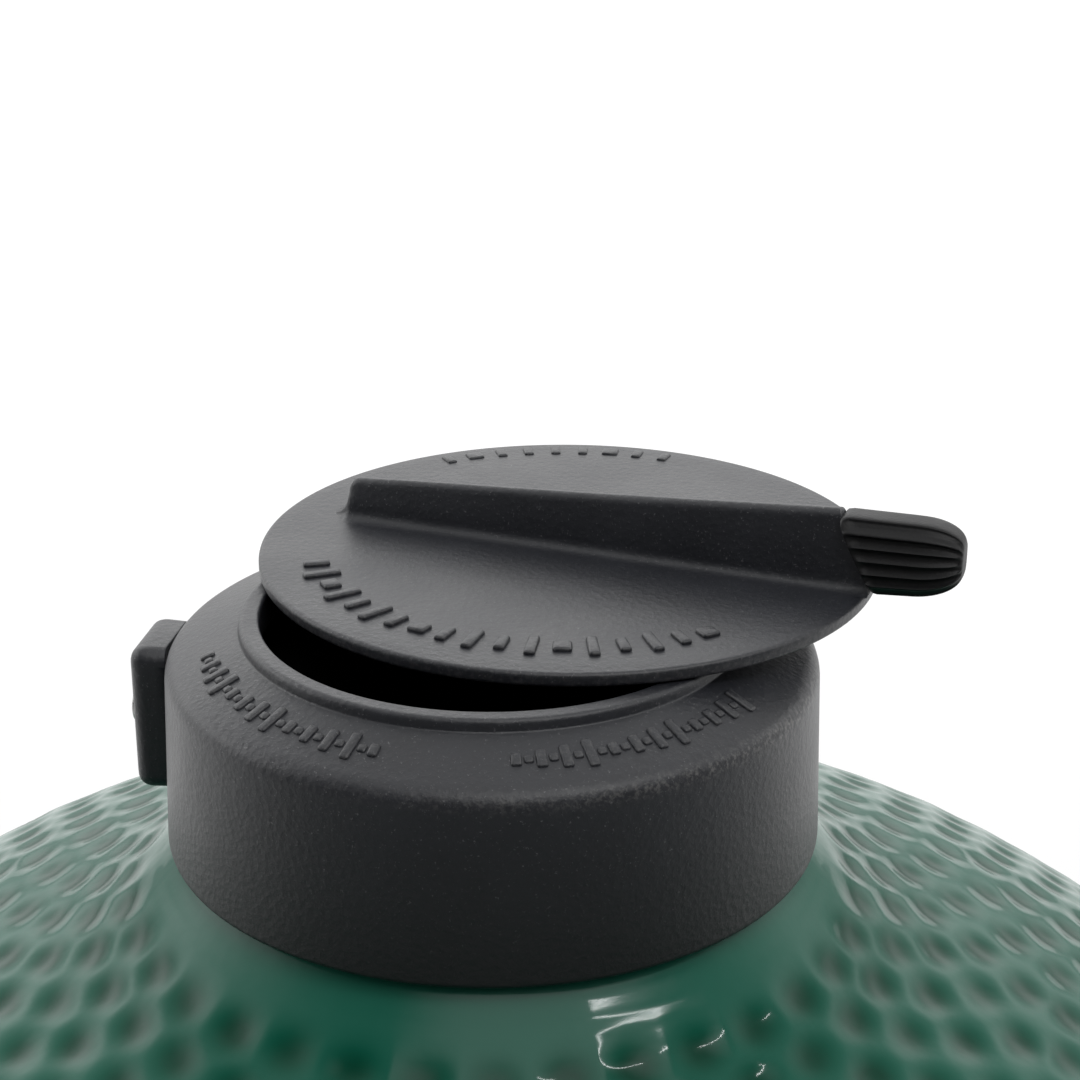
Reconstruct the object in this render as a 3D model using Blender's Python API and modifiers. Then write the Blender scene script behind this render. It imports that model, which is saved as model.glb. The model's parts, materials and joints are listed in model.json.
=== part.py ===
"""Ceramic kamado cooker with a cast vent cap: the working model, in metres, +Z up.

The origin is on the floor under the middle of the cooker, and the front (handle, thermometer
and draft door) faces -Y. The vent lid stands partly open at rest.
"""

import math

import bmesh
import bpy
from mathutils import Matrix, Vector

# ---- driving dimensions ----
GAP = 0.0003                    # clearance between pieces that touch
SHELL_R = 0.270                 # widest outer radius of base and dome
WALL = 0.025                    # ceramic wall
CENTRE_Z = 0.435                # height of both shells' widest section
DOME_RISE = 0.218               # dome ellipsoid's vertical half axis
BASE_DROP = 0.499               # base ellipsoid's vertical half axis
BASE_BOTTOM = 0.040             # underside of the base, on its feet
BASE_RIM = 0.425                # top of the base's rim
GASKET = 0.003                  # each felt gasket
RING_Z = 0.664                  # underside of the vent ring
NECK_R = 0.066                  # outer radius of the dome's neck
THROAT_R = 0.047                # bore through the neck
NECK_TOP = RING_Z + 0.030
FLARE_TOP_R = 0.070             # start of the flare, just under the vent ring
FLARE_TOP_SLOPE = -1.11
FLARE_R = 0.110                 # where the flare meets the dome

RING_R = 0.075                  # vent ring, outer radius
RING_WALL = 0.0047
LIP_R = 0.0522                  # inner radius of the ring's lip
LIP_OUT_R = 0.0577
LIP_H = 0.0515                  # top of the lip above the ring's underside
SHOULDER_R = 0.0737             # the wall draws in a little towards its shoulder
SHOULDER_H = 0.042
DISC_R = 0.073                  # vent disc
DISC_T = 0.0033
PIVOT_R = 0.0475                # the vent disc's pivot, from the cap's axis
PIVOT_AZ = math.radians(127.5)
VENT_OPEN = math.radians(43.5)  # how far the disc stands open at rest
FIN_AZ = math.radians(-65.6)    # the fin's direction with the disc closed
FIN_BACK = -0.0558              # the fin's inner end, along the fin from the disc's centre
FIN_LOW = 0.0095                # the fin's height at its inner end
FIN_HIGH = 0.0185               # and at the grip
FIN_TOP_END = 0.065             # where its ridge meets the grip
FIN_FOOT_END = 0.0735           # where its foot meets the grip
GRIP_END = 0.0935               # tip of the grip
GRIP_HALF_W = 0.0068
GRIP_LOW = 0.0008               # underside and top of the grip, above the disc's face
GRIP_HIGH = 0.0200
CLAMP_AZ = math.radians(170)    # the clamp block on the vent ring

BAND_T = 0.003                  # steel bands round the rims
BAND_R = SHELL_R + 0.0010
LOWER_BAND = (0.395, 0.423)
UPPER_BAND = (0.436, 0.464)
BAND_SPLIT = 0.010
LUG_OUT = 0.016
REACH = 0.330                   # hinge pin and handle bar, from the cooker's axis
HINGE_Z = 0.430
HINGE_PIN_R = 0.005
EAR_T = 0.005
BASE_EAR_X = 0.048
DOME_EAR_X = 0.036
SPRING_R = 0.0105
SPRING_WIRE = 0.0026
HANDLE_Z = 0.452
HANDLE_X = 0.105                # handle brackets, either side of the middle
HANDLE_BAR_R = 0.014

DRAFT_LOW, DRAFT_HIGH = 0.080, 0.125     # the air inlet's lower and upper edge
INLET_HALF = 0.0345             # half the air inlet's width
DRAFT_HALF = math.radians(9.3)  # and of the window in the draft frame
PANEL_HALF = math.radians(10.5)
FRAME_HALF = math.radians(32.5)
CHIN_R = 0.220                  # face of the ceramic pad that carries the draft frame
FRONT = math.radians(-90)

GRATE_Z = 0.130
FIREBOX_TOP = 0.305
FIRE_RING_TOP = 0.385
GRID_R = 0.2285                 # an 18 inch cooking grid

GAUGE_RISE = 0.120              # thermometer, above the shells' widest section
GAUGE_R = 0.030

ROUND = 40                      # facets round the large turned pieces
CAP_ROUND = 40                  # facets round the vent cap
MERGE = 0.00005

MATERIALS = {
    "glazed_ceramic": ((0.035, 0.16, 0.10), 0.18, 0.0),
    "raw_ceramic": ((0.62, 0.52, 0.42), 0.90, 0.0),
    "cast_iron": ((0.030, 0.031, 0.033), 0.62, 0.3),
    "black_silicone": ((0.012, 0.012, 0.013), 0.55, 0.0),
    "felt": ((0.20, 0.19, 0.18), 0.95, 0.0),
    "band_steel": ((0.10, 0.10, 0.105), 0.45, 0.6),
    "bright_steel": ((0.62, 0.62, 0.62), 0.30, 1.0),
    "handle_wood": ((0.36, 0.21, 0.11), 0.50, 0.0),
    "dial_face": ((0.85, 0.85, 0.83), 0.60, 0.0),
    "needle_red": ((0.60, 0.05, 0.03), 0.50, 0.0),
    "clear_glass": ((0.90, 0.95, 0.95), 0.05, 0.0),
}


# ---- scene and objects ----
def clear_scene():
    for obj in list(bpy.data.objects):
        bpy.data.objects.remove(obj, do_unlink=True)


def new_collection(name):
    collection = bpy.data.collections.new(name)
    bpy.context.scene.collection.children.link(collection)
    return collection


def material(name):
    found = bpy.data.materials.get(name)
    if found:
        return found
    colour, roughness, metallic = MATERIALS[name]
    made = bpy.data.materials.new(name)
    made.use_nodes = True
    shader = made.node_tree.nodes["Principled BSDF"]
    shader.inputs["Base Color"].default_value = (*colour, 1.0)
    shader.inputs["Roughness"].default_value = roughness
    shader.inputs["Metallic"].default_value = metallic
    return made


def place(name, mesh, look, parent=None):
    """A mesh as an object in the parts' collection, or a cutter where it has no look."""
    obj = bpy.data.objects.new(name, mesh)
    if look:
        PARTS.objects.link(obj)
        mesh.materials.append(material(look))
    else:
        CUTTERS.objects.link(obj)
        obj.hide_render = True
        obj.display_type = "WIRE"
    obj.parent = parent
    return obj


def from_bmesh(name, bm, look, parent=None, smooth_angle=35):
    bmesh.ops.recalc_face_normals(bm, faces=bm.faces)
    mesh = bpy.data.meshes.new(name)
    bm.to_mesh(mesh)
    bm.free()
    mesh.shade_smooth()
    mesh.set_sharp_from_angle(angle=math.radians(smooth_angle))
    return place(name, mesh, look, parent)


def combine(obj, other, operation):
    modifier = obj.modifiers.new(f"{operation.lower()} {other.name}", "BOOLEAN")
    modifier.operation = operation
    modifier.solver = "EXACT"
    modifier.object = other
    return obj


def cut(obj, *cutters):
    for cutter in cutters:
        combine(obj, cutter, "DIFFERENCE")
    return obj


def join(obj, *others):
    for other in others:
        combine(obj, other, "UNION")
    return obj


def aim(obj, location, direction):
    """Moves an object to a place, with its own Z along a direction."""
    obj.location = Vector(location)
    obj.rotation_euler = Vector(direction).to_track_quat("Z", "Y").to_euler()
    return obj


# ---- shapes ----
def turned(name, profile, look, closed=True, steps=ROUND, parent=None):
    """A turned piece. Its profile runs down the outer side; an open one ends on the axis."""
    count = len(profile)
    edges = [(i, i + 1) for i in range(count - 1)] + ([(count - 1, 0)] if closed else [])
    mesh = bpy.data.meshes.new(name)
    mesh.from_pydata([(r, 0.0, z) for r, z in profile], edges, [])
    obj = place(name, mesh, look, parent)
    screw = obj.modifiers.new("turn", "SCREW")
    screw.axis = "Z"
    screw.steps = screw.render_steps = steps
    screw.use_merge_vertices = True
    screw.merge_threshold = MERGE
    return obj


def box(name, low, high, look=None, parent=None):
    bm = bmesh.new()
    bmesh.ops.create_cube(bm, size=1.0)
    low, high = Vector(low), Vector(high)
    size = high - low
    bmesh.ops.scale(bm, vec=size, verts=bm.verts)
    bmesh.ops.translate(bm, vec=(low + high) / 2, verts=bm.verts)
    return from_bmesh(name, bm, look, parent)


def rod(name, radius, low, high, look=None, parent=None, segments=20, turn=None):
    """A cylinder along its own Z, from low to high; turn places its mesh elsewhere."""
    bm = bmesh.new()
    bmesh.ops.create_cone(bm, cap_ends=True, segments=segments, radius1=radius,
                          radius2=radius, depth=high - low)
    bmesh.ops.translate(bm, vec=(0, 0, (low + high) / 2), verts=bm.verts)
    if turn:
        bmesh.ops.transform(bm, matrix=turn, verts=bm.verts)
    return from_bmesh(name, bm, look, parent)


def sector(name, profile, start, end, look=None, steps=12, parent=None):
    """A profile in radius and height, swept round the Z axis between two azimuths."""
    bm = bmesh.new()
    corners = [(r * math.cos(start), r * math.sin(start), z) for r, z in profile]
    face = bm.faces.new([bm.verts.new(c) for c in corners])
    bmesh.ops.spin(bm, geom=[face, *face.edges, *face.verts], cent=(0, 0, 0), axis=(0, 0, 1),
                   angle=end - start, steps=steps, use_duplicate=False)
    return from_bmesh(name, bm, look, parent)


def loft(name, rings, look=None, parent=None):
    """A closed body through rings of points, with a flat cap at each end."""
    bm = bmesh.new()
    rows = [[bm.verts.new(p) for p in ring] for ring in rings]
    for a, b in zip(rows, rows[1:]):
        for i in range(len(a)):
            j = (i + 1) % len(a)
            bm.faces.new((a[i], a[j], b[j], b[i]))
    bm.faces.new(rows[0])
    bm.faces.new(rows[-1])
    return from_bmesh(name, bm, look, parent)


def plate(name, outline, thickness, turn, look=None):
    """A flat outline in its own XY plane, given a thickness and placed by a matrix."""
    curve = bpy.data.curves.new(name + "_outline", "CURVE")
    curve.dimensions = "2D"
    curve.fill_mode = "BOTH"
    curve.extrude = thickness / 2
    spline = curve.splines.new("POLY")
    spline.points.add(len(outline) - 1)
    for point, (x, y) in zip(spline.points, outline):
        point.co = (x, y, 0.0, 1.0)
    spline.use_cyclic_u = True
    return mesh_of_curve(name, curve, look, turn)


def tube(name, points, radius, look):
    """A round wire through points, closed at both ends."""
    curve = bpy.data.curves.new(name + "_line", "CURVE")
    curve.dimensions = "3D"
    curve.bevel_depth = radius
    curve.bevel_resolution = 1
    curve.use_fill_caps = True
    spline = curve.splines.new("POLY")
    spline.points.add(len(points) - 1)
    for point, co in zip(spline.points, points):
        point.co = (*co, 1.0)
    return mesh_of_curve(name, curve, look, Matrix())


def mesh_of_curve(name, curve, look, turn):
    guide = bpy.data.objects.new(name + "_guide", curve)
    bpy.context.scene.collection.objects.link(guide)
    seen = guide.evaluated_get(bpy.context.evaluated_depsgraph_get())
    bm = bmesh.new()
    bm.from_mesh(bpy.data.meshes.new_from_object(seen))
    bpy.data.objects.remove(guide, do_unlink=True)
    bmesh.ops.remove_doubles(bm, verts=bm.verts, dist=MERGE / 5)
    bmesh.ops.transform(bm, matrix=turn, verts=bm.verts)
    return from_bmesh(name, bm, look)


def arc(centre, radius, start, end, count):
    """Points along an arc, both ends included."""
    steps = [start + (end - start) * i / (count - 1) for i in range(count)]
    return [(centre[0] + radius * math.cos(a), centre[1] + radius * math.sin(a)) for a in steps]


def bezier(a, b, c, count):
    """Points along a quadratic curve from a to c, both ends included."""
    found = []
    for i in range(count):
        t = i / (count - 1)
        found.append(tuple(p * (1 - t) ** 2 + 2 * q * t * (1 - t) + r * t * t
                           for p, q, r in zip(a, b, c)))
    return found


def on_ellipsoid(radius, half_r, half_z):
    """Height above the widest section, where an ellipsoid has this radius."""
    return half_z * math.sqrt(1 - (radius / half_r) ** 2)


def at_azimuth(radius, azimuth, z=0.0):
    return Vector((radius * math.cos(azimuth), radius * math.sin(azimuth), z))


# ---- ceramic shells ----
def base_outline(inset, low, high, count):
    """The base's wall from low to high, set in from its outer surface."""
    found = []
    for i in range(count):
        z = low + (high - low) * i / (count - 1)
        drop = (CENTRE_Z - z) / (BASE_DROP - inset)
        found.append(((SHELL_R - inset) * math.sqrt(1 - drop * drop), z))
    return found


def make_base():
    floor_z = BASE_BOTTOM + WALL
    inner = base_outline(WALL, floor_z + 0.025, BASE_RIM, 6)
    outer = base_outline(0, BASE_BOTTOM + 0.014, BASE_RIM, 8)[::-1]
    foot_r = outer[-1][0]
    profile = [(0, floor_z), (inner[0][0] - 0.022, floor_z)] + inner
    profile += outer + [(foot_r - 0.014, BASE_BOTTOM), (0, BASE_BOTTOM)]
    base = turned("base_shell", profile, "glazed_ceramic", closed=False)
    chin = [(0.172, 0.070), (CHIN_R - 0.008, 0.060), (CHIN_R, 0.067), (CHIN_R, 0.138),
            (CHIN_R - 0.003, 0.148), (0.195, 0.148)]
    half = FRAME_HALF + math.radians(2)
    join(base, sector("chin", chin, FRONT - half, FRONT + half, steps=16))
    cut(base, box("inlet_cutter", (-INLET_HALF, -0.260, DRAFT_LOW), (INLET_HALF, -0.120, DRAFT_HIGH)))
    return base


def make_dome(gauge):
    """The lid: an ellipsoid shell with a flared neck, and a hole for the thermometer."""
    rim_z = BASE_RIM + 2 * GASKET + 4 * GAP
    slope = -DOME_RISE / SHELL_R * FLARE_R / math.sqrt(SHELL_R ** 2 - FLARE_R ** 2)
    flare_z = CENTRE_Z + on_ellipsoid(FLARE_R, SHELL_R, DOME_RISE)
    top_z = RING_Z - 0.0008
    fall = top_z - FLARE_TOP_SLOPE * FLARE_TOP_R - (flare_z - slope * FLARE_R)
    knee_r = fall / (slope - FLARE_TOP_SLOPE)
    knee = (knee_r, top_z + FLARE_TOP_SLOPE * (knee_r - FLARE_TOP_R))
    outer = [(NECK_R - 0.003, NECK_TOP), (NECK_R, NECK_TOP - 0.003), (NECK_R, RING_Z + 0.002)]
    outer += bezier((FLARE_TOP_R, top_z), knee, (FLARE_R, flare_z), 4)
    start = math.asin(FLARE_R / SHELL_R)
    for i in range(1, 9):
        a = start + (math.pi / 2 - start) * i / 8
        outer.append((SHELL_R * math.sin(a), CENTRE_Z + DOME_RISE * math.cos(a)))
    outer.append((SHELL_R, rim_z))
    in_r, in_z = SHELL_R - WALL, DOME_RISE - WALL
    inner = [(in_r, rim_z)]
    start = math.asin(THROAT_R / in_r)
    for i in range(6):
        a = math.pi / 2 + (start - math.pi / 2) * i / 5
        inner.append((in_r * math.sin(a), CENTRE_Z + in_z * math.cos(a)))
    dome = turned("dome_shell", outer + inner + [(THROAT_R, NECK_TOP)], "glazed_ceramic")
    cut(dome, rod("gauge_hole_cutter", 0.009, -0.06, 0.02, parent=gauge, segments=16))
    return dome


# ---- fire and grids ----
def make_firebox():
    top = FIREBOX_TOP
    profile = [(0.180, top), (0.206, top), (0.192, 0.205), (0.163, 0.115), (0.146, 0.0655),
               (0.112, 0.0655), (0.100, 0.080), (0.100, GRATE_Z), (0.114, GRATE_Z),
               (0.114, GRATE_Z + 0.012), (0.165, 0.215)]
    firebox = turned("firebox", profile, "raw_ceramic", steps=40)
    mouth = box("firebox_mouth_cutter", (-INLET_HALF, -0.200, DRAFT_LOW),
                (INLET_HALF, -0.070, DRAFT_HIGH))
    cut(firebox, mouth)
    for i in range(6):
        azimuth = math.radians(60 * i)
        hole = rod(f"air_hole_cutter_{i}", 0.009, 0.110, 0.215, segments=10)
        cut(firebox, aim(hole, (0, 0, 0.185), at_azimuth(1, azimuth)))
    return firebox


def make_fire_ring():
    low, top = FIREBOX_TOP + GAP, FIRE_RING_TOP
    profile = [(0.182, top), (0.216, top), (0.208, low), (0.180, low)]
    ring = turned("fire_ring", profile, "raw_ceramic", steps=40)
    for i in range(3):
        azimuth = math.radians(30 + 120 * i)
        notch = rod(f"ring_notch_cutter_{i}", 0.012, 0.150, 0.230, segments=12)
        cut(ring, aim(notch, (0, 0, top + 0.002), at_azimuth(1, azimuth)))
    return ring


def bars(name, radius, pitch, width, low, high):
    """Parallel bars that fill a circle, each a box along Y, as cutters or joined pieces."""
    made = []
    reach = int(radius / pitch - 0.25)
    for i in range(-reach, reach + 1):
        x = i * pitch
        y = math.sqrt(radius ** 2 - (abs(x) + width / 2) ** 2)
        made.append(box(f"{name}_{i + reach}", (x - width / 2, -y, low), (x + width / 2, y, high)))
    return made


def make_fire_grate():
    low = GRATE_Z + GAP
    top = low + 0.008
    grate = turned("fire_grate", [(0, top), (0.1128, top), (0.1128, low), (0, low)],
                   "cast_iron", closed=False, steps=40)
    return cut(grate, *bars("grate_slot_cutter", 0.098, 0.024, 0.011, low - 0.01, top + 0.01))


def make_cooking_grid():
    low = FIRE_RING_TOP + GAP
    rim = [(GRID_R - 0.007, low + 0.007), (GRID_R, low + 0.007), (GRID_R, low), (GRID_R - 0.007, low)]
    grid = turned("cooking_grid", rim, "bright_steel", steps=48)
    for bar in bars("grid_bar", GRID_R - 0.003, 0.0225, 0.005, low + 0.002, low + 0.006):
        join(grid, bar)
    half = GRID_R - 0.003
    for side in (-1, 1):
        x = math.sqrt(half ** 2 - 0.114 ** 2)
        join(grid, box(f"grid_stay_{side + 1}", (-x, side * 0.110 - 0.003, low + 0.0005),
                       (x, side * 0.110 + 0.003, low + 0.005)))
    return grid


# ---- gaskets, bands and their bolts ----
def flat_ring(name, inner, outer, low, high, look, steps=ROUND, parent=None):
    profile = [(inner, high), (outer, high), (outer, low), (inner, low)]
    return turned(name, profile, look, steps=steps, parent=parent)


def make_gaskets():
    low = BASE_RIM + GAP
    inner, outer = SHELL_R - WALL + 0.0015, SHELL_R - 0.0015
    flat_ring("lower_gasket", inner, outer, low, low + GASKET, "felt")
    low += GASKET + 2 * GAP
    flat_ring("upper_gasket", inner, outer, low, low + GASKET, "felt")


def hex_nut(name, corner_r, bore_r, low, high, parent=None, turn=None):
    nut = rod(name, corner_r, low, high, "bright_steel", parent, 6, turn)
    return cut(nut, rod(name + "_cutter", bore_r, low - 0.01, high + 0.01, None, parent, 16, turn))


def make_band(name, heights, azimuth):
    """A steel strap, split at one azimuth, with a lug either side and a bolt across."""
    low, high = heights
    out = BAND_R + BAND_T
    half = BAND_SPLIT / 2 / BAND_R
    strap = [(BAND_R, low), (out, low), (out, high), (BAND_R, high)]
    band = sector(name, strap, azimuth + half, azimuth + math.tau - half, "band_steel", steps=ROUND)
    turn = Matrix.Rotation(azimuth, 4, "Z")
    middle = (low + high) / 2
    for side in (-1, 1):
        near, far = sorted((side * BAND_SPLIT / 2, side * (BAND_SPLIT / 2 + 0.004)))
        lug = box(f"{name}_lug_{side + 1}", (BAND_R + 0.0008, near, low), (out + LUG_OUT, far, high))
        lug.matrix_world = turn
        join(band, lug)
    across = turn @ Matrix.Translation((out + 0.009, 0, middle)) @ Matrix.Rotation(-math.pi / 2, 4, "X")
    hole = rod(name + "_hole_cutter", 0.0033, -0.03, 0.03, segments=12)
    hole.matrix_world = across
    cut(band, hole)
    face = BAND_SPLIT / 2 + 0.004 + GAP
    head = [(0, -face - 0.005), (0.0055, -face - 0.004), (0.0055, -face), (0.003, -face),
            (0.003, face + 0.009), (0, face + 0.009)]
    bolt = turned(name + "_bolt", head[::-1], "bright_steel", closed=False, steps=12)
    bolt.matrix_world = across
    hex_nut(name + "_nut", 0.0058, 0.0033, face, face + 0.005, turn=across)
    return band


# ---- hinge ----
def ear_outline(foot_low, foot_high, foot_y):
    """A hinge ear seen from the side: a foot at the band and a round eye at the pin."""
    eye = HANDLE_BAR_R
    start, end = (-60, 150) if foot_high > HINGE_Z + 0.01 else (-150, 60)
    turn = arc((REACH, HINGE_Z), eye, math.radians(start), math.radians(end), 11)
    return [(foot_y, foot_low)] + turn + [(foot_y, foot_high)]


def hinge_bracket(name, heights, ear_x, look):
    """A plate that follows the band, with two ears that reach back to the pin."""
    low, high = heights
    inner = BAND_R + BAND_T + GAP
    outer = inner + 0.004
    half = math.asin((ear_x + 0.012) / outer)
    strap = [(inner, low), (outer, low), (outer, high), (inner, high)]
    bracket = sector(name, strap, math.pi / 2 - half, math.pi / 2 + half, look, steps=6)
    foot_y = math.sqrt(inner ** 2 - ear_x ** 2) + 0.0025
    upright = Matrix(((0, 0, 1, 0), (1, 0, 0, 0), (0, 1, 0, 0), (0, 0, 0, 1)))
    for side in (-1, 1):
        turn = Matrix.Translation((side * ear_x, 0, 0)) @ upright
        ear = plate(f"{name}_ear_{side + 1}", ear_outline(low + 0.003, high - 0.003, foot_y), EAR_T, turn)
        join(bracket, ear)
    hole = rod(name + "_pin_cutter", HINGE_PIN_R + GAP, -0.08, 0.08, segments=20)
    return cut(bracket, aim(hole, (0, REACH, HINGE_Z), (1, 0, 0)))


def make_hinge():
    hinge_bracket("hinge_base_bracket", (0.388, 0.4235), BASE_EAR_X, "cast_iron")
    hinge_bracket("hinge_dome_bracket", (0.4365, 0.474), DOME_EAR_X, "cast_iron")
    half = BASE_EAR_X + EAR_T / 2 + 0.004
    ends = [(0, half), (HINGE_PIN_R, half), (HINGE_PIN_R, -half), (0.008, -half),
            (0.008, -half - 0.003), (0, -half - 0.003)]
    pin = turned("hinge_pin", ends, "bright_steel", closed=False, steps=20)
    aim(pin, (0, REACH, HINGE_Z), (1, 0, 0))
    for side, word in ((-1, "left"), (1, "right")):
        make_spring(f"hinge_spring_{word}", side)


def make_spring(name, side):
    """A torsion spring round the pin, with one leg on the base's bracket."""
    turns, steps = 4, 10
    pitch = SPRING_WIRE * 1.25
    points = []
    for i in range(turns * steps + 1):
        a = math.tau * i / steps - math.pi / 2
        x = side * (0.006 + pitch * i / steps)
        points.append((x, REACH + SPRING_R * math.cos(a), HINGE_Z + SPRING_R * math.sin(a)))
    last = points[-1]
    points.append((last[0], last[1] - 0.020, last[2] - 0.002))
    first = points[0]
    points.insert(0, (first[0], first[1] + 0.012, first[2] - 0.001))
    return tube(name, points, SPRING_WIRE / 2, "bright_steel")


# ---- handle ----
def make_handle():
    bar_y = -REACH
    for side, word in ((-1, "left"), (1, "right")):
        make_handle_bracket(f"handle_bracket_{word}", side)
        shank = HANDLE_X + 0.003 + GAP
        profile = [(0, shank + 0.005), (0.006, shank + 0.0035), (0.008, shank), (0.004, shank),
                   (0.004, HANDLE_X - 0.030), (0, HANDLE_X - 0.030)]
        bolt = turned(f"handle_bolt_{word}", profile, "bright_steel", closed=False, steps=16)
        aim(bolt, (0, bar_y, HANDLE_Z), (side, 0, 0))
    end = HANDLE_X - 0.003 - GAP
    waist = HANDLE_BAR_R - 0.0015
    profile = [(0, end), (waist - 0.002, end), (waist, end - 0.003), (HANDLE_BAR_R, end - 0.035),
               (HANDLE_BAR_R, -end + 0.035), (waist, -end + 0.003), (waist - 0.002, -end), (0, -end)]
    grip = turned("handle_grip", profile, "handle_wood", closed=False, steps=16)
    aim(grip, (0, bar_y, HANDLE_Z), (1, 0, 0))
    for side in (-1, 1):
        low, high = sorted((side * (HANDLE_X - 0.032), side * (HANDLE_X + 0.01)))
        hole = rod(f"grip_hole_cutter_{side + 1}", 0.004 + GAP, low, high, segments=16)
        cut(grip, aim(hole, (0, bar_y, HANDLE_Z), (1, 0, 0)))


def make_handle_bracket(name, side):
    """A pad on the upper band and an arm that reaches out to the bar."""
    inner = BAND_R + BAND_T + GAP
    outer = inner + 0.004
    azimuth = FRONT + side * math.asin(HANDLE_X / outer)
    half = math.radians(4.0)
    low, high = HANDLE_Z - 0.0135, HANDLE_Z + 0.0115
    strap = [(inner, low), (outer, low), (outer, high), (inner, high)]
    bracket = sector(name, strap, azimuth - half, azimuth + half, "cast_iron", steps=3)
    root = -math.sqrt(inner ** 2 - (HANDLE_X - 0.003) ** 2) - 0.0022
    eye = arc((-REACH, HANDLE_Z), HANDLE_BAR_R - 0.001, math.radians(100), math.radians(260), 9)
    outline = [(root, low + 0.002)] + [(root, high - 0.002)] + eye
    upright = Matrix(((0, 0, 1, 0), (1, 0, 0, 0), (0, 1, 0, 0), (0, 0, 0, 1)))
    turn = Matrix.Translation((side * HANDLE_X, 0, 0)) @ upright
    join(bracket, plate(name + "_arm", outline, 0.006, turn))
    hole = rod(name + "_cutter", 0.004 + GAP, -0.02, 0.02, segments=16)
    cut(bracket, aim(hole, (side * HANDLE_X, -REACH, HANDLE_Z), (1, 0, 0)))
    return bracket


# ---- thermometer ----
def gauge_axis():
    """An empty on the dome's surface, with its Z along the surface's outward normal."""
    radius = SHELL_R * math.sqrt(1 - (GAUGE_RISE / DOME_RISE) ** 2)
    normal = Vector((0, -radius / SHELL_R ** 2, GAUGE_RISE / DOME_RISE ** 2)).normalized()
    empty = bpy.data.objects.new("thermometer_axis", None)
    PARTS.objects.link(empty)
    return aim(empty, (0, -radius, CENTRE_Z + GAUGE_RISE), normal)


def make_thermometer(axis):
    back = 0.0022
    r, wall = GAUGE_R, 0.0025
    steps = 24
    inside = r - wall
    case = [(0, back + 0.002), (inside, back + 0.002), (inside, 0.013), (r, 0.013), (r, back + 0.001),
            (r - 0.001, back), (0.0085, back), (0.0085, -0.033), (0, -0.033)]
    turned("thermometer_case", case, "bright_steel", closed=False, steps=steps, parent=axis)
    dial = turned("thermometer_dial", [(0.0016, 0.0053), (inside - GAP, 0.0053), (inside - GAP, 0.0045),
                                       (0.0016, 0.0045)], "dial_face", steps=steps, parent=axis)
    lens = [(0, 0.0128), (inside - GAP, 0.0128), (inside - GAP, 0.0108), (0, 0.0108)]
    turned("thermometer_lens", lens, "clear_glass", closed=False, steps=steps, parent=axis)
    bezel = [(r - 0.006, 0.0131), (r - 0.0055, 0.0155), (r + 0.0003, 0.0158), (r + 0.0018, 0.0140),
             (r + 0.0018, 0.0070), (r + GAP, 0.0070), (r + GAP, 0.0133)]
    turned("thermometer_bezel", bezel, "bright_steel", steps=steps, parent=axis)
    hex_nut("thermometer_nut", 0.014, 0.0085 + GAP, -0.0325, -0.0275, axis)
    probe = [(0, -0.0333), (0.003, -0.0333), (0.003, -0.080), (0.001, -0.083), (0, -0.083)]
    turned("thermometer_probe", probe, "bright_steel", closed=False, steps=12, parent=axis)
    needle = rod("thermometer_needle", 0.0030, 0.0060, 0.0078, "needle_red", axis, 16)
    join(needle, rod("needle_spindle", 0.0012, 0.0046, 0.0065, parent=axis, segments=10))
    start = math.radians(-45)
    pointer = [(0.020, 0.0), (-0.001, 0.0018), (-0.008, 0.0012), (-0.008, -0.0012), (-0.001, -0.0018)]
    hand = plate("needle_pointer", pointer, 0.0008, Matrix.Translation((0, 0, 0.0069)) @
                 Matrix.Rotation(math.pi + start * -1, 4, "Z"))
    hand.parent = axis
    join(needle, hand)
    return dial


# ---- draft door ----
def curved_panel(name, inner, outer, low, high, start, end, look, steps=8, parent=None):
    profile = [(inner, low), (outer, low), (outer, high), (inner, high)]
    return sector(name, profile, FRONT + start, FRONT + end, look, steps, parent)


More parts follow.
